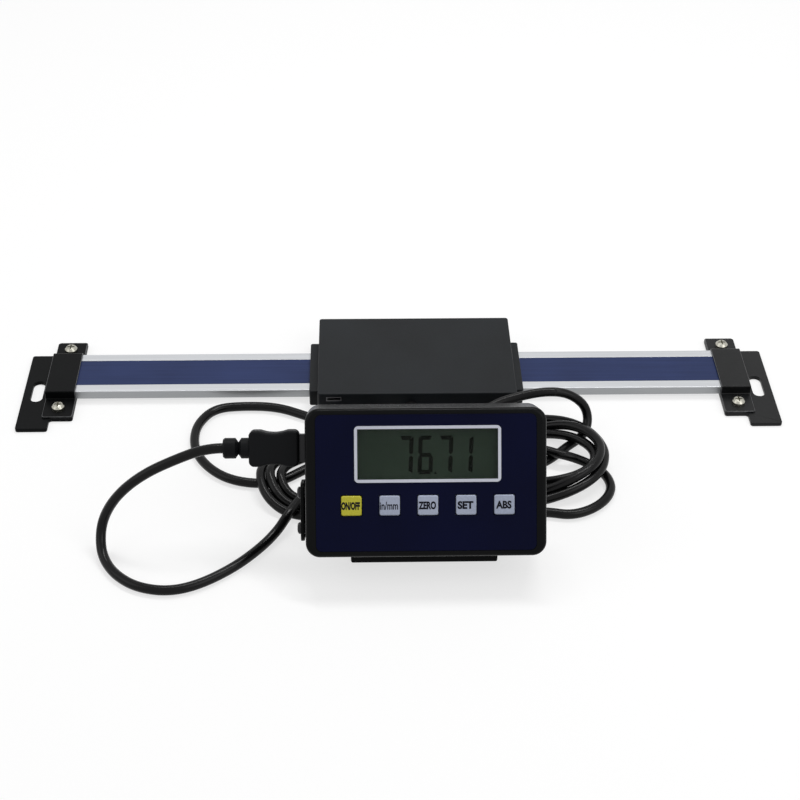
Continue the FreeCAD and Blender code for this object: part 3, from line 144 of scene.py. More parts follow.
# Powder coat on stamped steel: deep black with the slight ripple of flowed powder, drawn coarse enough
# to show.
powder_coat = grained(
    "black_powder_coat", "#0e0f10", "#161718", 1.1, (0.3, 0.4), 0.02, Specular_IOR_Level=0.18
)
# The same powder coat painted deeper black, with less sheen: painted shade for the left bracket and the
# stand, where less light falls.
shaded_coat = grained(
    "shaded_powder_coat", "#08090a", "#0e0f10", 0.9, (0.34, 0.44), 0.015, Specular_IOR_Level=0.06
)
# Powder coat at a broken edge: black to a lighter grey in patches, partly worn coat and partly a painted
# highlight of the edge catching the light.
worn_and_highlit_edge = grained("worn_and_highlit_powder_coat", "#17181a", "#56575a", 1.4, (0.3, 0.42), 0.01, patch=9)
# Moulded ABS, spark-eroded in the tool: matt black; the real grit is finer than it is drawn.
moulded_abs = grained(
    "moulded_abs", "#08090a", "#0e0f10", 0.6, (0.2, 0.28), 0.012, IOR=1.53, Specular_IOR_Level=0.06
)
# Soft PVC, extruded over the wires: black with a smooth satin skin.
cord_pvc = grained(
    "extruded_pvc", "#080809", "#0e0e0f", 1.6, (0.2, 0.27), 0.006, IOR=1.53, Specular_IOR_Level=0.14
)
# Soft PVC moulded round the plug: black and a little duller than the cord.
plug_pvc = grained(
    "moulded_pvc", "#0b0c0d", "#121315", 0.6, (0.4, 0.5), 0.012, IOR=1.53, Specular_IOR_Level=0.07
)
# Nitrile rubber, moulded: dull black with a faint bloom.
gland_rubber = grained(
    "moulded_rubber", "#0a0a0b", "#121213", 0.8, (0.6, 0.72), 0.01, Specular_IOR_Level=0.1
)
# Silicone rubber, moulded: milky grey and soft looking.
pad_silicone = grained("moulded_silicone", "#8d8f90", "#a2a4a5", 0.8, (0.5, 0.6), 0.008, IOR=1.41)
# Acetal strip, planed: off-white with a waxy surface.
liner_acetal = grained(
    "planed_acetal", "#cfccc2", "#dedbd1", 0.9, (0.4, 0.5), 0.006, (20, 1, 1), IOR=1.48
)
# Zinc-plated steel: bright, with the fine turning of a headed screw.
bright_zinc = grained("zinc_plated_steel", "#9b9a90", "#bdbbb0", 0.5, (0.2, 0.34), 0.006, Metallic=1.0)
# Blackened steel: dark oxide with an oily gleam.
black_oxide = grained("blackened_steel", "#1a1a1c", "#262628", 0.5, (0.26, 0.38), 0.006, Metallic=0.6)
# Nickel-plated steel, drawn into a shell: bright and slightly warm.
nickel_shell = grained("nickel_plated_steel", "#a8a69f", "#bebcb5", 0.6, (0.22, 0.34), 0.004, Metallic=1.0)
# The same nickel shell painted a soft mid grey: painted shade for the data port, which sits in shade on the
# front of the head.
shaded_nickel = grained("shaded_nickel_plate", "#7a7a7c", "#8e8e90", 0.6, (0.36, 0.48), 0.004, Metallic=1.0)
# Ferrite-filled rubber tape: dark grey-brown and matt.
ferrite_tape = grained("ferrite_rubber", "#2b2725", "#35312e", 0.5, (0.6, 0.7), 0.008, IOR=1.52)
# Glass-epoxy board under solder mask: green and glossy over a fine weave of about half a millimetre.
solder_mask = grained("solder_mask_board", "#12402a", "#1b5537", 0.5, (0.25, 0.4), 0.01, IOR=1.55)
# Epoxy moulding compound of a chip: charcoal and matt.
chip_epoxy = grained("moulded_epoxy", "#161617", "#202021", 0.4, (0.55, 0.65), 0.006, IOR=1.55)
# Carbon-loaded silicone strips between the glass and the board: slate grey.
strip_rubber = grained("striped_silicone", "#4d4f53", "#5c5e62", 0.3, (0.5, 0.6), 0.004, IOR=1.41)
# Silk-screened silver ink round the window: pale, cool and slightly pearly.
silver_print = grained(
    "silver_ink", "#d0d3e0", "#dfe2ec", 0.5, (0.36, 0.46), 0.004, Specular_IOR_Level=0.3
)
# Moulded silicone keys, pad-printed: yellow, and pale blue-grey, with a soft satin top.
key_yellow = grained(
    "yellow_moulded_key", "#bfb92e", "#cbc53b", 0.8, (0.24, 0.32), 0.008, IOR=1.45, Specular_IOR_Level=0.4
)
key_grey = grained(
    "grey_moulded_key", "#a5adc2", "#b2bacf", 0.8, (0.24, 0.32), 0.008, IOR=1.45, Specular_IOR_Level=0.4
)
# Pad-printed legend ink: nearly black and flat.
legend_ink = grained(
    "legend_ink", "#0a0b14", "#11121b", 0.4, (0.5, 0.6), 0.002, Specular_IOR_Level=0.1
)
# Back-printed polyester film: deep navy seen through a fine velvet top that spreads the light.
overlay_film = grained(
    "navy_overlay_film", "#060923", "#090d2b", 0.5, (0.3, 0.38), 0.003, IOR=1.58, Specular_IOR_Level=0.04
)
# Printed polyester film on the beam: slate blue, smooth, with a faint roller streak along it.
label_film = grained(
    "blue_label_film", "#243056", "#2c3964", 1.2, (0.28, 0.36), 0.003, (40, 1, 1), Specular_IOR_Level=0.12
)
# Reflective polariser behind glass: olive, mottled very slightly by its adhesive.
lcd_polariser = grained(
    "lcd_polariser", "#46594a", "#516455", 1.5, (0.3, 0.36), 0.0, patch=22, Specular_IOR_Level=0.02
)
# Switched liquid crystal: the olive of the glass turned nearly black.
lcd_dark = grained("lcd_segment", "#080b08", "#0c100c", 0.8, (0.3, 0.36), 0.0, Specular_IOR_Level=0.02)


def drawn_aluminium():
    """Extruded aluminium, brushed along its top and anodised clear: pale top bands, and sides painted greyer
    as painted shade, since they take less light than the top. The real lines are finer than half a
    millimetre, and are drawn coarser so that they show."""
    line_apart, line_stretch, line_depth, patch = 0.9, 100, 0.006, 40
    # A face that looks up by less than the first is a side, and by more than the second the top.
    side_up, top_up = 0.5, 0.9
    finish, tree, shader = start_finish("clear_anodised_aluminium", Metallic=1.0)
    place = add(tree, "TexCoord")
    along = add(tree, "Mapping", {"Vector": place.outputs["Object"], "Scale": (1 / line_stretch, 1, 1)})
    lines = add(tree, "TexNoise", {"Vector": along.outputs[0], "Scale": spaced(line_apart), "Detail": 4})
    cloud = add(tree, "TexNoise", {"Vector": place.outputs["Object"], "Scale": spaced(patch), "Detail": 2})
    facing = add(tree, "SeparateXYZ", {0: add(tree, "NewGeometry").outputs["Normal"]})
    top = add(tree, "MapRange", {"Value": facing.outputs["Z"], "From Min": side_up, "From Max": top_up})
    upper = add(
        tree, "Mix", {0: lines.outputs[0], 6: linear("#b6b8bb"), 7: linear("#c9cbce")}, data_type="RGBA"
    )
    # The sides take a greyer colour than the top: painted shade, as less light falls on them.
    lower = add(
        tree, "Mix", {0: cloud.outputs[0], 6: linear("#8e9092"), 7: linear("#a2a4a6")}, data_type="RGBA"
    )
    colour = add(
        tree, "Mix", {0: top.outputs[0], 6: lower.outputs[2], 7: upper.outputs[2]}, data_type="RGBA"
    )
    gloss = add(tree, "MapRange", {"Value": lines.outputs[0], "To Min": 0.3, "To Max": 0.46})
    bump = add(tree, "Bump", {"Height": lines.outputs[0], "Strength": 1.0, "Distance": line_depth * MM})
    tree.links.new(colour.outputs[2], shader.inputs["Base Color"])
    tree.links.new(gloss.outputs[0], shader.inputs["Roughness"])
    tree.links.new(bump.outputs[0], shader.inputs["Normal"])
    return finish


def clear_acrylic():
    """Cast acrylic: clear, with hard gloss and the faintest haze of handling. Nearly all light goes straight
    through a plate this thin, so it is laid over what is behind it and doesn't bend it."""
    smear = 9
    finish, tree, shader = start_finish("cast_acrylic", Base_Color=linear("#1f261f"), IOR=1.49, Alpha=0.12)
    place = add(tree, "TexCoord")
    haze = add(tree, "TexNoise", {"Vector": place.outputs["Object"], "Scale": spaced(smear), "Detail": 3})
    gloss = add(tree, "MapRange", {"Value": haze.outputs[0], "To Min": 0.03, "To Max": 0.1})
    tree.links.new(gloss.outputs[0], shader.inputs["Roughness"])
    return finish


def wrapped_cell():
    """A dry cell in its shrink wrap: a dark sleeve with a copper band at one end."""
    band_at, band_edge, patch = 11, 0.2, 6
    finish, tree, shader = start_finish("cell_sleeve", IOR=1.5)
    place = add(tree, "TexCoord")
    split = add(tree, "SeparateXYZ", {0: place.outputs["Object"]})
    low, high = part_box("battery_cells")
    band = (low[0] + high[0]) / 2 + band_at * MM
    far = add(
        tree,
        "MapRange",
        {"Value": split.outputs["X"], "From Min": band, "From Max": band + band_edge * MM},
    )
    sheen = add(tree, "TexNoise", {"Vector": place.outputs["Object"], "Scale": spaced(patch), "Detail": 2})
    sleeve = add(
        tree, "Mix", {0: sheen.outputs[0], 6: linear("#202225"), 7: linear("#2a2c30")}, data_type="RGBA"
    )
    colour = add(
        tree, "Mix", {0: far.outputs[0], 6: sleeve.outputs[2], 7: linear("#a5683a")}, data_type="RGBA"
    )
    gloss = add(tree, "MapRange", {"Value": sheen.outputs[0], "To Min": 0.25, "To Max": 0.35})
    tree.links.new(colour.outputs[2], shader.inputs["Base Color"])
    tree.links.new(gloss.outputs[0], shader.inputs["Roughness"])
    return finish


beam_aluminium = drawn_aluminium()
window_acrylic = clear_acrylic()
cell_sleeve = wrapped_cell()

# Finish of each piece that comes from the drawings, and the size its edges were broken to.
DRESS = {
    "beam": (beam_aluminium, 0.1),
    "magnetic_tape": (ferrite_tape, 0),
    "scale_label": (label_film, 0),
    "left_base_plate": (shaded_coat, 0.25),
    "right_base_plate": (powder_coat, 0.25),
    "left_clamp_strap": (shaded_coat, 0.25),
    "right_clamp_strap": (powder_coat, 0.25),
    "clamp_screws": (bright_zinc, 0),
    "head_slider": (black_anodised, 0.3),
    "wear_strips": (liner_acetal, 0),
    "head_cover": (black_anodised, 0),
    "head_board": (solder_mask, 0),
    "head_board_screws": (bright_zinc, 0),
    "magnetic_sensor": (chip_epoxy, 0),
    "head_data_port": (shaded_nickel, 0),
    "head_cover_screws": (bright_zinc, 0),
    "head_cable_gland": (gland_rubber, 0),
    "display_front_case": (moulded_abs, 0),
    "display_back_case": (moulded_abs, 0),
    "face_overlay": (overlay_film, 0.15),
    "lcd_bezel": (silver_print, 0),
    "lcd_window": (window_acrylic, 0),
    "lcd_panel": (lcd_polariser, 0),
    "lcd_contact_strips": (strip_rubber, 0),
    "display_board": (solder_mask, 0),
    "display_board_screws": (bright_zinc, 0),
    "button_pad": (pad_silicone, 0),
    "button_on_off": (key_yellow, 0.4),
    "button_units": (key_grey, 0.4),
    "button_zero": (key_grey, 0.4),
    "button_set": (key_grey, 0.4),
    "button_abs": (key_grey, 0.4),
    "battery_cells": (cell_sleeve, 0),
    "battery_contacts": (nickel_shell, 0),
    "battery_door": (moulded_abs, 0),
    "display_socket": (nickel_shell, 0),
    "case_screws": (black_oxide, 0),
    "stand_bracket": (shaded_coat, 0.25),
    "stand_rear_screws": (black_oxide, 0),
    "stand_ear_screws": (black_oxide, 0),
    "stand_ear_washers": (black_oxide, 0),
    "plug_shell": (black_oxide, 0),
    "plug_grip": (plug_pvc, 0),
    "plug_strain_relief": (plug_pvc, 0),
    "cord_display_lead": (cord_pvc, 0),
    "cord_left_loop": (cord_pvc, 0),
    "cord_coil": (cord_pvc, 0),
    "cord_head_lead": (cord_pvc, 0),
}
# Straps whose broken edges are lighter: partly worn coat, partly a painted highlight.
WORN_AND_HIGHLIT = ("left_clamp_strap", "right_clamp_strap")
# Corners closer than this are one corner, facets within this angle are one face, and edges sharper than this
# are broken.
SAME_CORNER = 0.001
ONE_FACE, SHARP_EDGE = math.radians(0.5), math.radians(40)


def break_edges(piece, width, worn_and_highlit):
    """Sharp edges broken to this width. The faces are joined and made whole first, and shaded evenly."""
    joined = piece.modifiers.new("joined_faces", "WELD")
    joined.merge_threshold = SAME_CORNER * MM
    whole = piece.modifiers.new("whole_faces", "DECIMATE")
    whole.decimate_type = "DISSOLVE"
    whole.angle_limit = ONE_FACE
    broken = piece.modifiers.new("broken_edges", "BEVEL")
    broken.width = width * MM
    broken.segments = 2
    broken.limit_method = "ANGLE"
    broken.angle_limit = SHARP_EDGE
    broken.use_clamp_overlap = False
    # The straps' broken edge faces take the lighter coat: worn coat and a painted highlight.
    broken.material = 1 if worn_and_highlit else -1
    piece.modifiers.new("even_shading", "WEIGHTED_NORMAL")


def dress_drawn_pieces():
    """Give every piece from the drawings its finish and its broken edges."""
    for name, (finish, edge) in DRESS.items():
        piece = cad_nodes[name]
        piece.data.materials.clear()
        piece.data.materials.append(finish)
        if name in WORN_AND_HIGHLIT:
            piece.data.materials.append(worn_and_highlit_edge)
        if edge:
            break_edges(piece, edge, name in WORN_AND_HIGHLIT)


def keep(name, mesh, finish, body):
    """A new piece of this mesh that rides on a body and takes the finish it is given."""
    piece = bpy.data.objects.new(name, mesh)
    bpy.context.scene.collection.objects.link(piece)
    piece.data.materials.clear()
    piece.data.materials.append(finish)
    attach(piece, body)


# The middle of a cord that lies on the table.
LYING = CORD_D / 2
# The cord from the plug: down to the table, out to the left and in under the readout to the inside of the
# coil.
PLUG_STRETCH = [
    (-73.6, -103.5, 45.6), (-81.0, -103.5, 45.6), (-95.4, -106.0, 40.7), (-105.4, -108.0, 36.4),
    (-114.2, -108.5, 29.2), (-120.9, -108.7, 20.7), (-125.4, -110.0, 11.2), (-125.7, -116.8, 4.4),
    (-122.9, -124.0, 2.1), (-117.4, -131.9, 2.1), (-108.6, -138.4, 2.1), (-96.2, -141.0, 2.1),
    (-84.2, -137.5, 2.1), (-70.6, -127.8, 2.1), (-60.4, -116.6, 2.1), (-53.5, -107.5, 3.2),
    (-49.2, -101.0, 6.3), (-46.2, -94.8, 6.8), (-42.5, -88.5, 7.0), (-37.5, -83.0, 6.7),
    (-30.0, -79.6, 4.4), (-19.0, -77.8, 2.3), (-4.0, -77.0, 2.1), (14.0, -76.6, 2.1),
    (32.0, -76.4, 2.1), (48.0, -76.6, 2.1), (60.0, -76.4, 2.4),
]
# The turns of the coil from the inside out: how far each reaches right, back and left, where its next front
# run lies on the left and on the right, how high it rides at its right and left ends, and where it steps over
# the strand that goes to the loop.
Turn = namedtuple("Turn", "right back left out_left out_right ride_right ride_left step_over")
TURNS = (
    Turn(85.1, -43.7, -53.0, -86.3, -83.8, 4.8, 4.6, -6.0),
    Turn(87.4, -39.4, -57.7, -92.0, -88.1, 9.0, 6.2, -15.0),
    Turn(89.7, -31.2, -61.9, -97.2, -95.4, 5.1, 4.7, -25.0),
)
# Where the front run lies that leads into the first right end.
FIRST_FRONT = -78.2
# How far back the tips of the two ends lie, where the runs between the ends start and stop, and how many
# points a front run has.
LEFT_TIP, RIGHT_TIP = -75.3, -64.0
BACK_RUN = (20.0, 52.0)
FRONT_RUN_END = 54.0
FRONT_RUN_POINTS = 4
# The angles at which a right end has its points, and how much longer than deep its front half is.
RIGHT_ANGLES = (-90, -60, -30, 0, 18, 36, 54, 72, 90)
FRONT_REACH = 1.2
# How far in from its tip a right end still rides, and how fast a left end comes down behind and in front.
RIDE_LENGTH = 28.0
BACK_FALL, FRONT_FALL = 10, 4
# The step over the strand to the loop: its height, and half its length.
STEP_HIGH, STEP_HALF = 5.0, 17.0
# The crest of the last bend, where the stretch to the head begins.
CREST = (69.55, -34.25, 19.35)
# The rest of the cord: round the right end once more and back inside the coil, out to the loop on the left,
# under the coil and up to the crest of its last bend.
LOOP_STRETCH = [
    (62.0, -95.6, 2.1), (71.0, -97.6, 2.1), (80.0, -94.4, 2.1), (87.2, -88.0, 2.1),
    (90.6, -80.6, 2.1), (89.8, -73.4, 2.1), (86.6, -67.6, 2.1), (82.5, -63.8, 2.1),
    (78.0, -62.4, 3.4), (73.0, -62.6, 5.6), (68.5, -61.8, 6.4), (63.5, -59.2, 6.3),
    (57.0, -55.6, 4.2), (47.0, -52.6, 2.2), (30.0, -51.5, 2.1), (12.0, -51.0, 2.1),
    (0.0, -48.2, 2.1), (-12.0, -43.6, 2.1), (-22.0, -39.6, 2.1), (-32.0, -34.7, 2.1),
    (-43.0, -28.4, 2.1), (-56.2, -21.7, 2.1), (-71.5, -20.7, 2.1), (-85.0, -22.4, 2.1),
    (-92.0, -33.4, 2.1), (-93.0, -45.2, 2.1), (-90.4, -56.2, 2.1), (-83.4, -66.3, 2.1),
    (-74.4, -72.9, 2.1), (-62.5, -75.6, 2.1), (-52.5, -73.6, 2.1), (-44.5, -67.6, 2.1),
    (-37.0, -61.8, 2.1), (-27.0, -58.8, 2.1), (-13.0, -58.4, 2.1), (4.0, -60.6, 2.1),
    (20.0, -64.4, 2.1), (38.0, -67.2, 2.1), (47.0, -67.45, 2.1), (56.0, -66.4, 2.1),
    (63.6, -62.4, 2.1), (69.4, -57.0, 2.1), (74.4, -51.6, 2.1), (80.0, -46.8, 2.2),
    (84.0, -41.0, 3.2), (84.8, -36.5, 7.8), (82.2, -34.4, 13.3), (74.5, -34.0, 18.8),
    CREST,
]
# The end of the same cord, from the gland of the head over the coil to that crest.
HEAD_ROUTE = [
    (4.6, -31.1, 8.4), (4.6, -42.1, 8.7), (13.0, -51.2, 10.4), (25.5, -50.8, 11.2),
    (33.6, -43.4, 13.0), (43.2, -37.4, 16.0), (54.2, -34.9, 17.8), (64.6, -34.5, 19.9),
    CREST,
]
# How finely a spline is read, and how round the cord is drawn.
SPLINE_STEPS, TUBE_SIDES, ROUNDNESS = 10, 20, 5


def cos_sin(angle):
    """Cosine and sine of an angle in degrees."""
    return math.cos(math.radians(angle)), math.sin(math.radians(angle))


def right_end(turn, front):
    """The bend at the right end of a turn, from its front run to its back run, riding on what is below."""
    places = []
    for angle in RIGHT_ANGLES:
        along, across = cos_sin(angle)
        depth = RIGHT_TIP - front if angle < 0 else turn.back - RIGHT_TIP
        reach = FRONT_REACH * depth if angle < 0 else turn.right - BACK_RUN[1]
        inward = reach * (1 - along)
        ride = turn.ride_right * max(0, 1 - (inward / RIDE_LENGTH) ** 2)
        places.append((turn.right - inward, RIGHT_TIP + depth * across, LYING + ride))
    return places


def left_end(turn):
    """The long bend from the back run to the left end, with a step over the strand to the loop, and the round
    bend from there to the next front run."""
    places = []
    for angle in range(90, 0, -10):
        along, across = cos_sin(angle)
        x = turn.left + (BACK_RUN[0] - turn.left) * (1 - along)
        step = STEP_HIGH * max(0, 1 - ((x - turn.step_over) / STEP_HALF) ** 2)
        ride = max(step, turn.ride_left * along**BACK_FALL)
        places.append((x, LEFT_TIP + (turn.back - LEFT_TIP) * across, LYING + ride))
    bend = LEFT_TIP - turn.out_left
    for angle in range(0, 91, 30):
        along, across = cos_sin(angle)
        ride = turn.ride_left * along**FRONT_FALL
        places.append((turn.left + bend * (1 - along), LEFT_TIP - bend * across, LYING + ride))
    return places


def front_run(turn):
    """The run from the left end of a turn along the front to the next right end."""
    start = turn.left + 2 * (LEFT_TIP - turn.out_left)
    places = []
    for i in range(FRONT_RUN_POINTS):
        share = i / (FRONT_RUN_POINTS - 1)
        x = start + (FRONT_RUN_END - start) * share
        places.append((x, turn.out_left + (turn.out_right - turn.out_left) * share, LYING))
    return places


def coil_route():
    """Every turn of the coil: its right end, its back run, its left end and the next front run."""
    places = []
    front = FIRST_FRONT
    for turn in TURNS:
        places += right_end(turn, front)
        places.append((sum(BACK_RUN) / 2, turn.back, LYING))
        places += left_end(turn) + front_run(turn)
        front = turn.out_right
    return places


def cord_line(name, route):
    """A smooth spline with the route's points as its control points."""
    line = bpy.data.curves.new(name, "CURVE")
    line.dimensions = "3D"
    line.resolution_u = SPLINE_STEPS
    spline = line.splines.new("NURBS")
    spline.points.add(len(route) - 1)
    for point, place in zip(spline.points, route):
        point.co = (*at(*place), 1.0)
    spline.order_u = 3
    spline.use_endpoint_u = True
    return line


def read_line(line):
    """The places along a spline, read from the curve before it has any thickness."""
    holder = bpy.data.objects.new("reading", line)
    bpy.context.scene.collection.objects.link(holder)
    bpy.context.view_layer.update()
    wire = bpy.data.meshes.new_from_object(holder.evaluated_get(bpy.context.evaluated_depsgraph_get()))
    places = [v.co.copy() for v in wire.vertices]
    bpy.data.objects.remove(holder)
    bpy.data.meshes.remove(wire)
    return places


def run_length(places):
    """The length of the line through these places."""
    return sum((b - a).length for a, b in zip(places, places[1:]))


def tube_mesh(name, places, radius):
    """A round tube along these places, its section carried along without twisting."""
    mesh = bmesh.new()
    rings = []
    ahead = (places[1] - places[0]).normalized()
    across = ahead.orthogonal().normalized()
    for i, place in enumerate(places):
        last = places[max(i - 1, 0)]
        following = places[min(i + 1, len(places) - 1)]
        ahead = (following - last).normalized()
        across = (across - ahead * across.dot(ahead)).normalized()
        beside = ahead.cross(across)
        ring = []
        for k in range(TUBE_SIDES):
            angle = 2 * math.pi * k / TUBE_SIDES
            outward = across * math.cos(angle) + beside * math.sin(angle)
            ring.append(mesh.verts.new(place + outward * radius))
        rings.append(ring)
    for a, b in zip(rings, rings[1:]):
        for k in range(TUBE_SIDES):
            beyond = (k + 1) % TUBE_SIDES
            mesh.faces.new((a[k], a[beyond], b[beyond], b[k])).smooth = True
    mesh.faces.new(list(reversed(rings[0])))
    mesh.faces.new(rings[-1])
    made = bpy.data.meshes.new(name)
    mesh.to_mesh(made)
    mesh.free()
    return made


def lay_cord():
    """The cord from the plug through the coil and the loop to its crest."""
    line = cord_line("cord", PLUG_STRETCH + coil_route() + LOOP_STRETCH)
    length = run_length(read_line(line))
    line.bevel_depth = CORD_D / 2 * MM
    line.bevel_resolution = ROUNDNESS
    line.use_fill_caps = True
    line.materials.append(cord_pvc)
    cord = bpy.data.objects.new("cord", line)
    bpy.context.scene.collection.objects.link(cord)
    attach(cord, ROOT)
    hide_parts("cord_coil", "cord_left_loop", "cord_display_lead")


def lay_lead_to_head():
    """The end of the cord, from the gland of the head over the coil to the crest."""
    places = read_line(cord_line("head_run", HEAD_ROUTE))
    lead = bpy.data.objects.new("cord_to_head", tube_mesh("cord_to_head", places, CORD_D / 2 * MM))
    bpy.context.scene.collection.objects.link(lead)
    lead.data.materials.append(cord_pvc)
    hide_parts("cord_head_lead")
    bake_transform(lead)


# Which of the seven bars of a figure are dark, from the top bar clockwise and the middle bar last.
FIGURES = {"7": "abc", "6": "acdefg", "1": "bc"}
# The size of a figure, the width and thickness of its bars, and how far it leans for each unit of height.
FIGURE_WIDE, FIGURE_HIGH, BAR_WIDE, BAR_THICK, SLANT = 6.0, 15.3, 1.65, 0.06, 0.04
# How far up the readout the figures stand, and how far out of it the glass lies.
FIGURE_LOW, GLASS_W = 33.0, 22.0
# The ends of the bars: kept in from the figure's sides and its top, clear of the middle, and mitred.
BAR_IN, BAR_SHORT, BAR_CLEAR, BAR_MITRE = 0.6, 0.4, 0.15, 0.9
# The figures of the reading, with where the right side of each stands from the middle of the window.
READING = (("7", -6.0), ("6", 1.95), ("7", 9.75), ("1", 17.8))
# The point of the reading: a small triangle to the right of the second figure.
POINT_GAP, POINT_WIDE, POINT_TIP, POINT_HIGH = 0.5, 1.3, 0.7, 1.1


def figure_bars():
    """The corners of each bar of a figure, from its lower left corner: mitred at the corners and
    pointed where the side bars meet the middle one, with a hairline between bars."""
    wide, high, middle = FIGURE_WIDE, FIGURE_HIGH, FIGURE_HIGH / 2
    half = BAR_WIDE / 2
    inner = wide - BAR_WIDE
    shoulder = middle + BAR_CLEAR + half
    end = high - BAR_SHORT
    upper_right = [
        (wide, shoulder), (wide, end), (inner, end - BAR_MITRE),
        (inner, shoulder), (wide - half, middle + BAR_CLEAR),
    ]
    left, right, below = BAR_IN, wide - BAR_IN, high - BAR_WIDE
    top = [(left, high), (right, high), (right - BAR_MITRE, below), (left + BAR_MITRE, below)]
    cross = [
        (left, middle), (left + half, middle + half), (right - half, middle + half),
        (right, middle), (right - half, middle - half), (left + half, middle - half),
    ]
    lower_right = [(x, high - v) for x, v in upper_right]
    return {
        "a": top,
        "b": upper_right,
        "c": lower_right,
        "d": [(x, high - v) for x, v in top],
        "e": [(wide - x, v) for x, v in lower_right],
        "f": [(wide - x, v) for x, v in upper_right],
        "g": cross,
    }


def show_reading():
    """The reading on the display: thin dark bars just proud of the glass."""
    bars = figure_bars()
    shapes = []
    for figure, right in READING:
        left = FACE_SHIFT + right - FIGURE_WIDE
        for letter in FIGURES[figure]:
            shapes.append([(left + x + SLANT * v, FIGURE_LOW + v) for x, v in bars[letter]])
    point = FACE_SHIFT + READING[1][1] + POINT_GAP
    shapes.append(
        [(point, FIGURE_LOW), (point + POINT_WIDE, FIGURE_LOW), (point + POINT_TIP, FIGURE_LOW + POINT_HIGH)]
    )
    mesh = bmesh.new()
    for shape in shapes:
        lower = [mesh.verts.new(on_readout(x, v, GLASS_W)) for x, v in shape]
        upper = [mesh.verts.new(on_readout(x, v, GLASS_W + BAR_THICK)) for x, v in shape]
        mesh.faces.new(upper)
        for k in range(len(shape)):
            j = (k + 1) % len(shape)
            mesh.faces.new((lower[k], lower[j], upper[j], upper[k]))
    bmesh.ops.recalc_face_normals(mesh, faces=mesh.faces)
    made = bpy.data.meshes.new("lcd_reading")
    mesh.to_mesh(made)
    mesh.free()
    keep("lcd_reading", made, lcd_dark, ROOT)


# Words on the keys from left to right, with how wide each is printed and how much its strokes are thickened.
LEGENDS = {
    "on_off": ("ON/OFF", 7.4, 0.055),
    "units": ("in/mm", 7.2, 0.02),
    "zero": ("ZERO", 7.0, 0.05),
    "set": ("SET", 6.3, 0.05),
    "abs": ("ABS", 6.2, 0.045),
}
# How high the words are, and how far their ink stands out of the keys.
WORD_HIGH, INK_THICK = 3.2, 0.02
# How far apart the keys are, how far up the readout they stand, how far out of it their tops lie, and which
# of them, counted from 0, is in the middle.
KEY_PITCH, KEY_V, KEY_W = 15.175, 20.8, 24.7
MIDDLE_KEY = 2
# The words are printed a little to the left of the middle of the keys.
WORD_SHIFT = -0.3


def word_mesh(words, bold):
    """Words as a flat mesh, in letters of unit size."""
    text = bpy.data.curves.new("words", "FONT")
    text.body = words
    text.size = 1.0
    text.offset = bold
    text.resolution_u = 4
    holder = bpy.data.objects.new("words", text)
    bpy.context.scene.collection.objects.link(holder)
    bpy.context.view_layer.update()
    mesh = bpy.data.meshes.new_from_object(holder.evaluated_get(bpy.context.evaluated_depsgraph_get()))
    bpy.data.objects.remove(holder)
    return mesh


def print_legends():
    """Each key's words, stretched to the size they are printed and laid on its top."""
    for i, (key, (words, wide, bold)) in enumerate(LEGENDS.items()):
        mesh = word_mesh(words, bold)
        xs = [v.co.x for v in mesh.vertices]
        ys = [v.co.y for v in mesh.vertices]
        middle = ((min(xs) + max(xs)) / 2, (min(ys) + max(ys)) / 2)
        across, up = wide / (max(xs) - min(xs)), WORD_HIGH / (max(ys) - min(ys))
        key_x = FACE_SHIFT + WORD_SHIFT + (i - MIDDLE_KEY) * KEY_PITCH
        for v in mesh.vertices:
            x = key_x + (v.co.x - middle[0]) * across
            v.co = on_readout(x, KEY_V + (v.co.y - middle[1]) * up, KEY_W + INK_THICK)
        keep(f"legend_{key}", mesh, legend_ink, f"{key}_button")


# The table reaches this far each way, in metres, and lies this far below the part, in millimetres.
TABLE_HALF, TABLE_BELOW = 3.0, 0.05
# How strongly the table glows where it is looked at, which brings it to white, and how strongly the surround
# lights the part.
TABLE_GLOW, SURROUND_LIGHT = 0.66, 0.36
# Each lamp's place in metres, its power in watts, and its width and height in metres.
LAMPS = {
    "top_lamp": ((0.15, 0.35, 1.1), 6.0, 0.9, 0.12),
    "front_lamp": ((0.75, -0.6, 0.9), 3.4, 0.8, 0.8),
    "side_lamp": ((-0.85, -0.2, 0.7), 1.4, 0.7, 0.7),
}
# The camera: where it stands, how far it looks down and is turned and rolled, in radians, and the width of
# its sensor and its focal length.
CAMERA_PLACE = (-17.09, -614.0, 468.62)
CAMERA_DOWN, CAMERA_TURN, CAMERA_ROLL = math.radians(38), 0.0289, 0.0099
SENSOR_WIDE, FOCAL_LENGTH = 36, 73.66


def whether_seen(tree):
    """1 for what the camera, a reflection or a clear piece looks at, and 0 for the light that falls on
    things."""
    path = add(tree, "LightPath")
    either = add(
        tree,
        "Math",
        {0: path.outputs["Is Camera Ray"], 1: path.outputs["Is Glossy Ray"]},
        operation="MAXIMUM",
    )
    return add(
        tree, "Math", {0: either.outputs[0], 1: path.outputs["Is Transmission Ray"]}, operation="MAXIMUM"
    ).outputs[0]


def lay_table():
    """A pale table that looks white and keeps the shadow of the part."""
    mesh = bmesh.new()
    bmesh.ops.create_grid(mesh, x_segments=2, y_segments=2, size=TABLE_HALF)
    made = bpy.data.meshes.new("table")
    mesh.to_mesh(made)
    mesh.free()
    table = bpy.data.objects.new("table", made)
    table.location.z = -TABLE_BELOW * MM
    bpy.context.scene.collection.objects.link(table)
    finish, tree, shader = start_finish(
        "white_table", Base_Color=linear("#a4a4a4"), Roughness=0.9, Specular_IOR_Level=0.1
    )
    shader.inputs["Emission Color"].default_value = (1, 1, 1, 1)
    glow = add(tree, "Math", {0: whether_seen(tree), 1: TABLE_GLOW}, operation="MULTIPLY")
    tree.links.new(glow.outputs[0], shader.inputs["Emission Strength"])
    table.data.materials.append(finish)


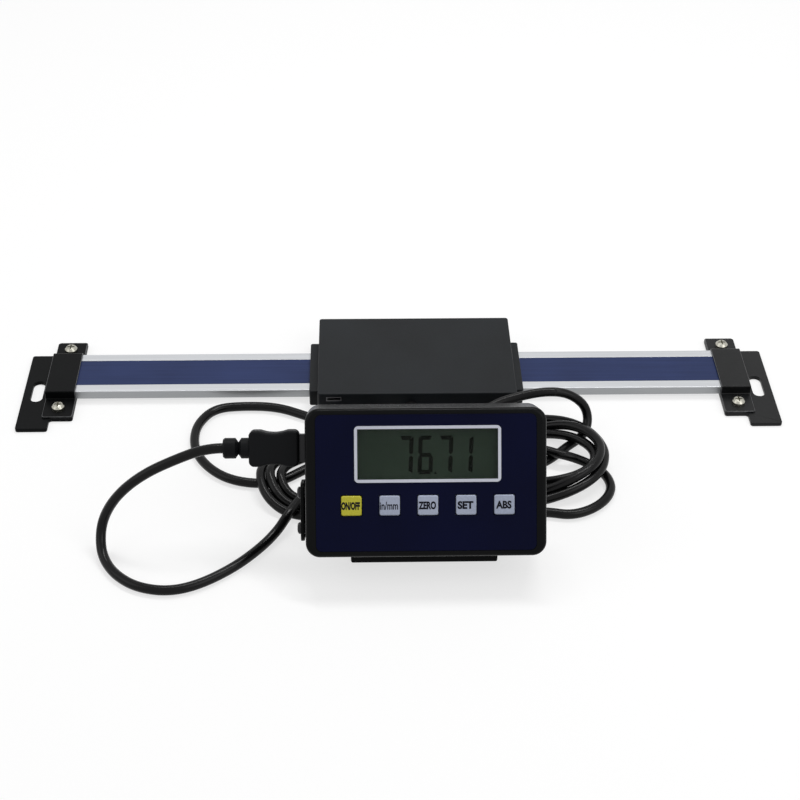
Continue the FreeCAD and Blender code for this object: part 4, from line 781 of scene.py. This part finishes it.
def light_surround():
    """A white surround that is seen at full white and lights the part softly."""
    world = bpy.data.worlds.new("studio")
    bpy.context.scene.world = world
    world.use_nodes = True
    tree = world.node_tree
    level = add(tree, "MapRange", {"Value": whether_seen(tree), "To Min": SURROUND_LIGHT, "To Max": 1.0})
    shade = tree.nodes["Background"]
    shade.inputs["Color"].default_value = (1, 1, 1, 1)
    tree.links.new(level.outputs[0], shade.inputs["Strength"])


def hang_lamps():
    """Three soft lamps at a plain level, each facing the origin of the shared frame."""
    for name, (place, watts, wide, high) in LAMPS.items():
        lamp = bpy.data.lights.new(name, "AREA")
        lamp.shape = "RECTANGLE"
        lamp.energy = watts
        lamp.size, lamp.size_y = wide, high
        stand = bpy.data.objects.new(name, lamp)
        stand.location = place
        stand.rotation_euler = (-Vector(place)).to_track_quat("-Z", "Y").to_euler()
        bpy.context.scene.collection.objects.link(stand)


def place_camera():
    """The camera looks down at the front of the scale, turned and rolled very slightly."""
    level_reach, fall = math.cos(CAMERA_DOWN), math.sin(CAMERA_DOWN)
    ahead = Vector((math.sin(CAMERA_TURN) * level_reach, math.cos(CAMERA_TURN) * level_reach, -fall))
    level = Vector((math.cos(CAMERA_TURN), -math.sin(CAMERA_TURN), 0))
    upright = level.cross(ahead)
    right = level * math.cos(CAMERA_ROLL) + upright * math.sin(CAMERA_ROLL)
    up = upright * math.cos(CAMERA_ROLL) - level * math.sin(CAMERA_ROLL)
    lens = bpy.data.cameras.new("camera")
    lens.sensor_width = SENSOR_WIDE
    lens.lens = FOCAL_LENGTH
    camera = bpy.data.objects.new("camera", lens)
    turned_to = Matrix((right, up, -ahead)).transposed().to_4x4()
    camera.matrix_world = Matrix.Translation(at(*CAMERA_PLACE)) @ turned_to
    bpy.context.scene.collection.objects.link(camera)
    bpy.context.scene.camera = camera


bpy.context.scene.view_settings.view_transform = "Standard"
dress_drawn_pieces()
lay_cord()
lay_lead_to_head()
show_reading()
print_legends()
lay_table()
light_surround()
hang_lamps()
place_camera()
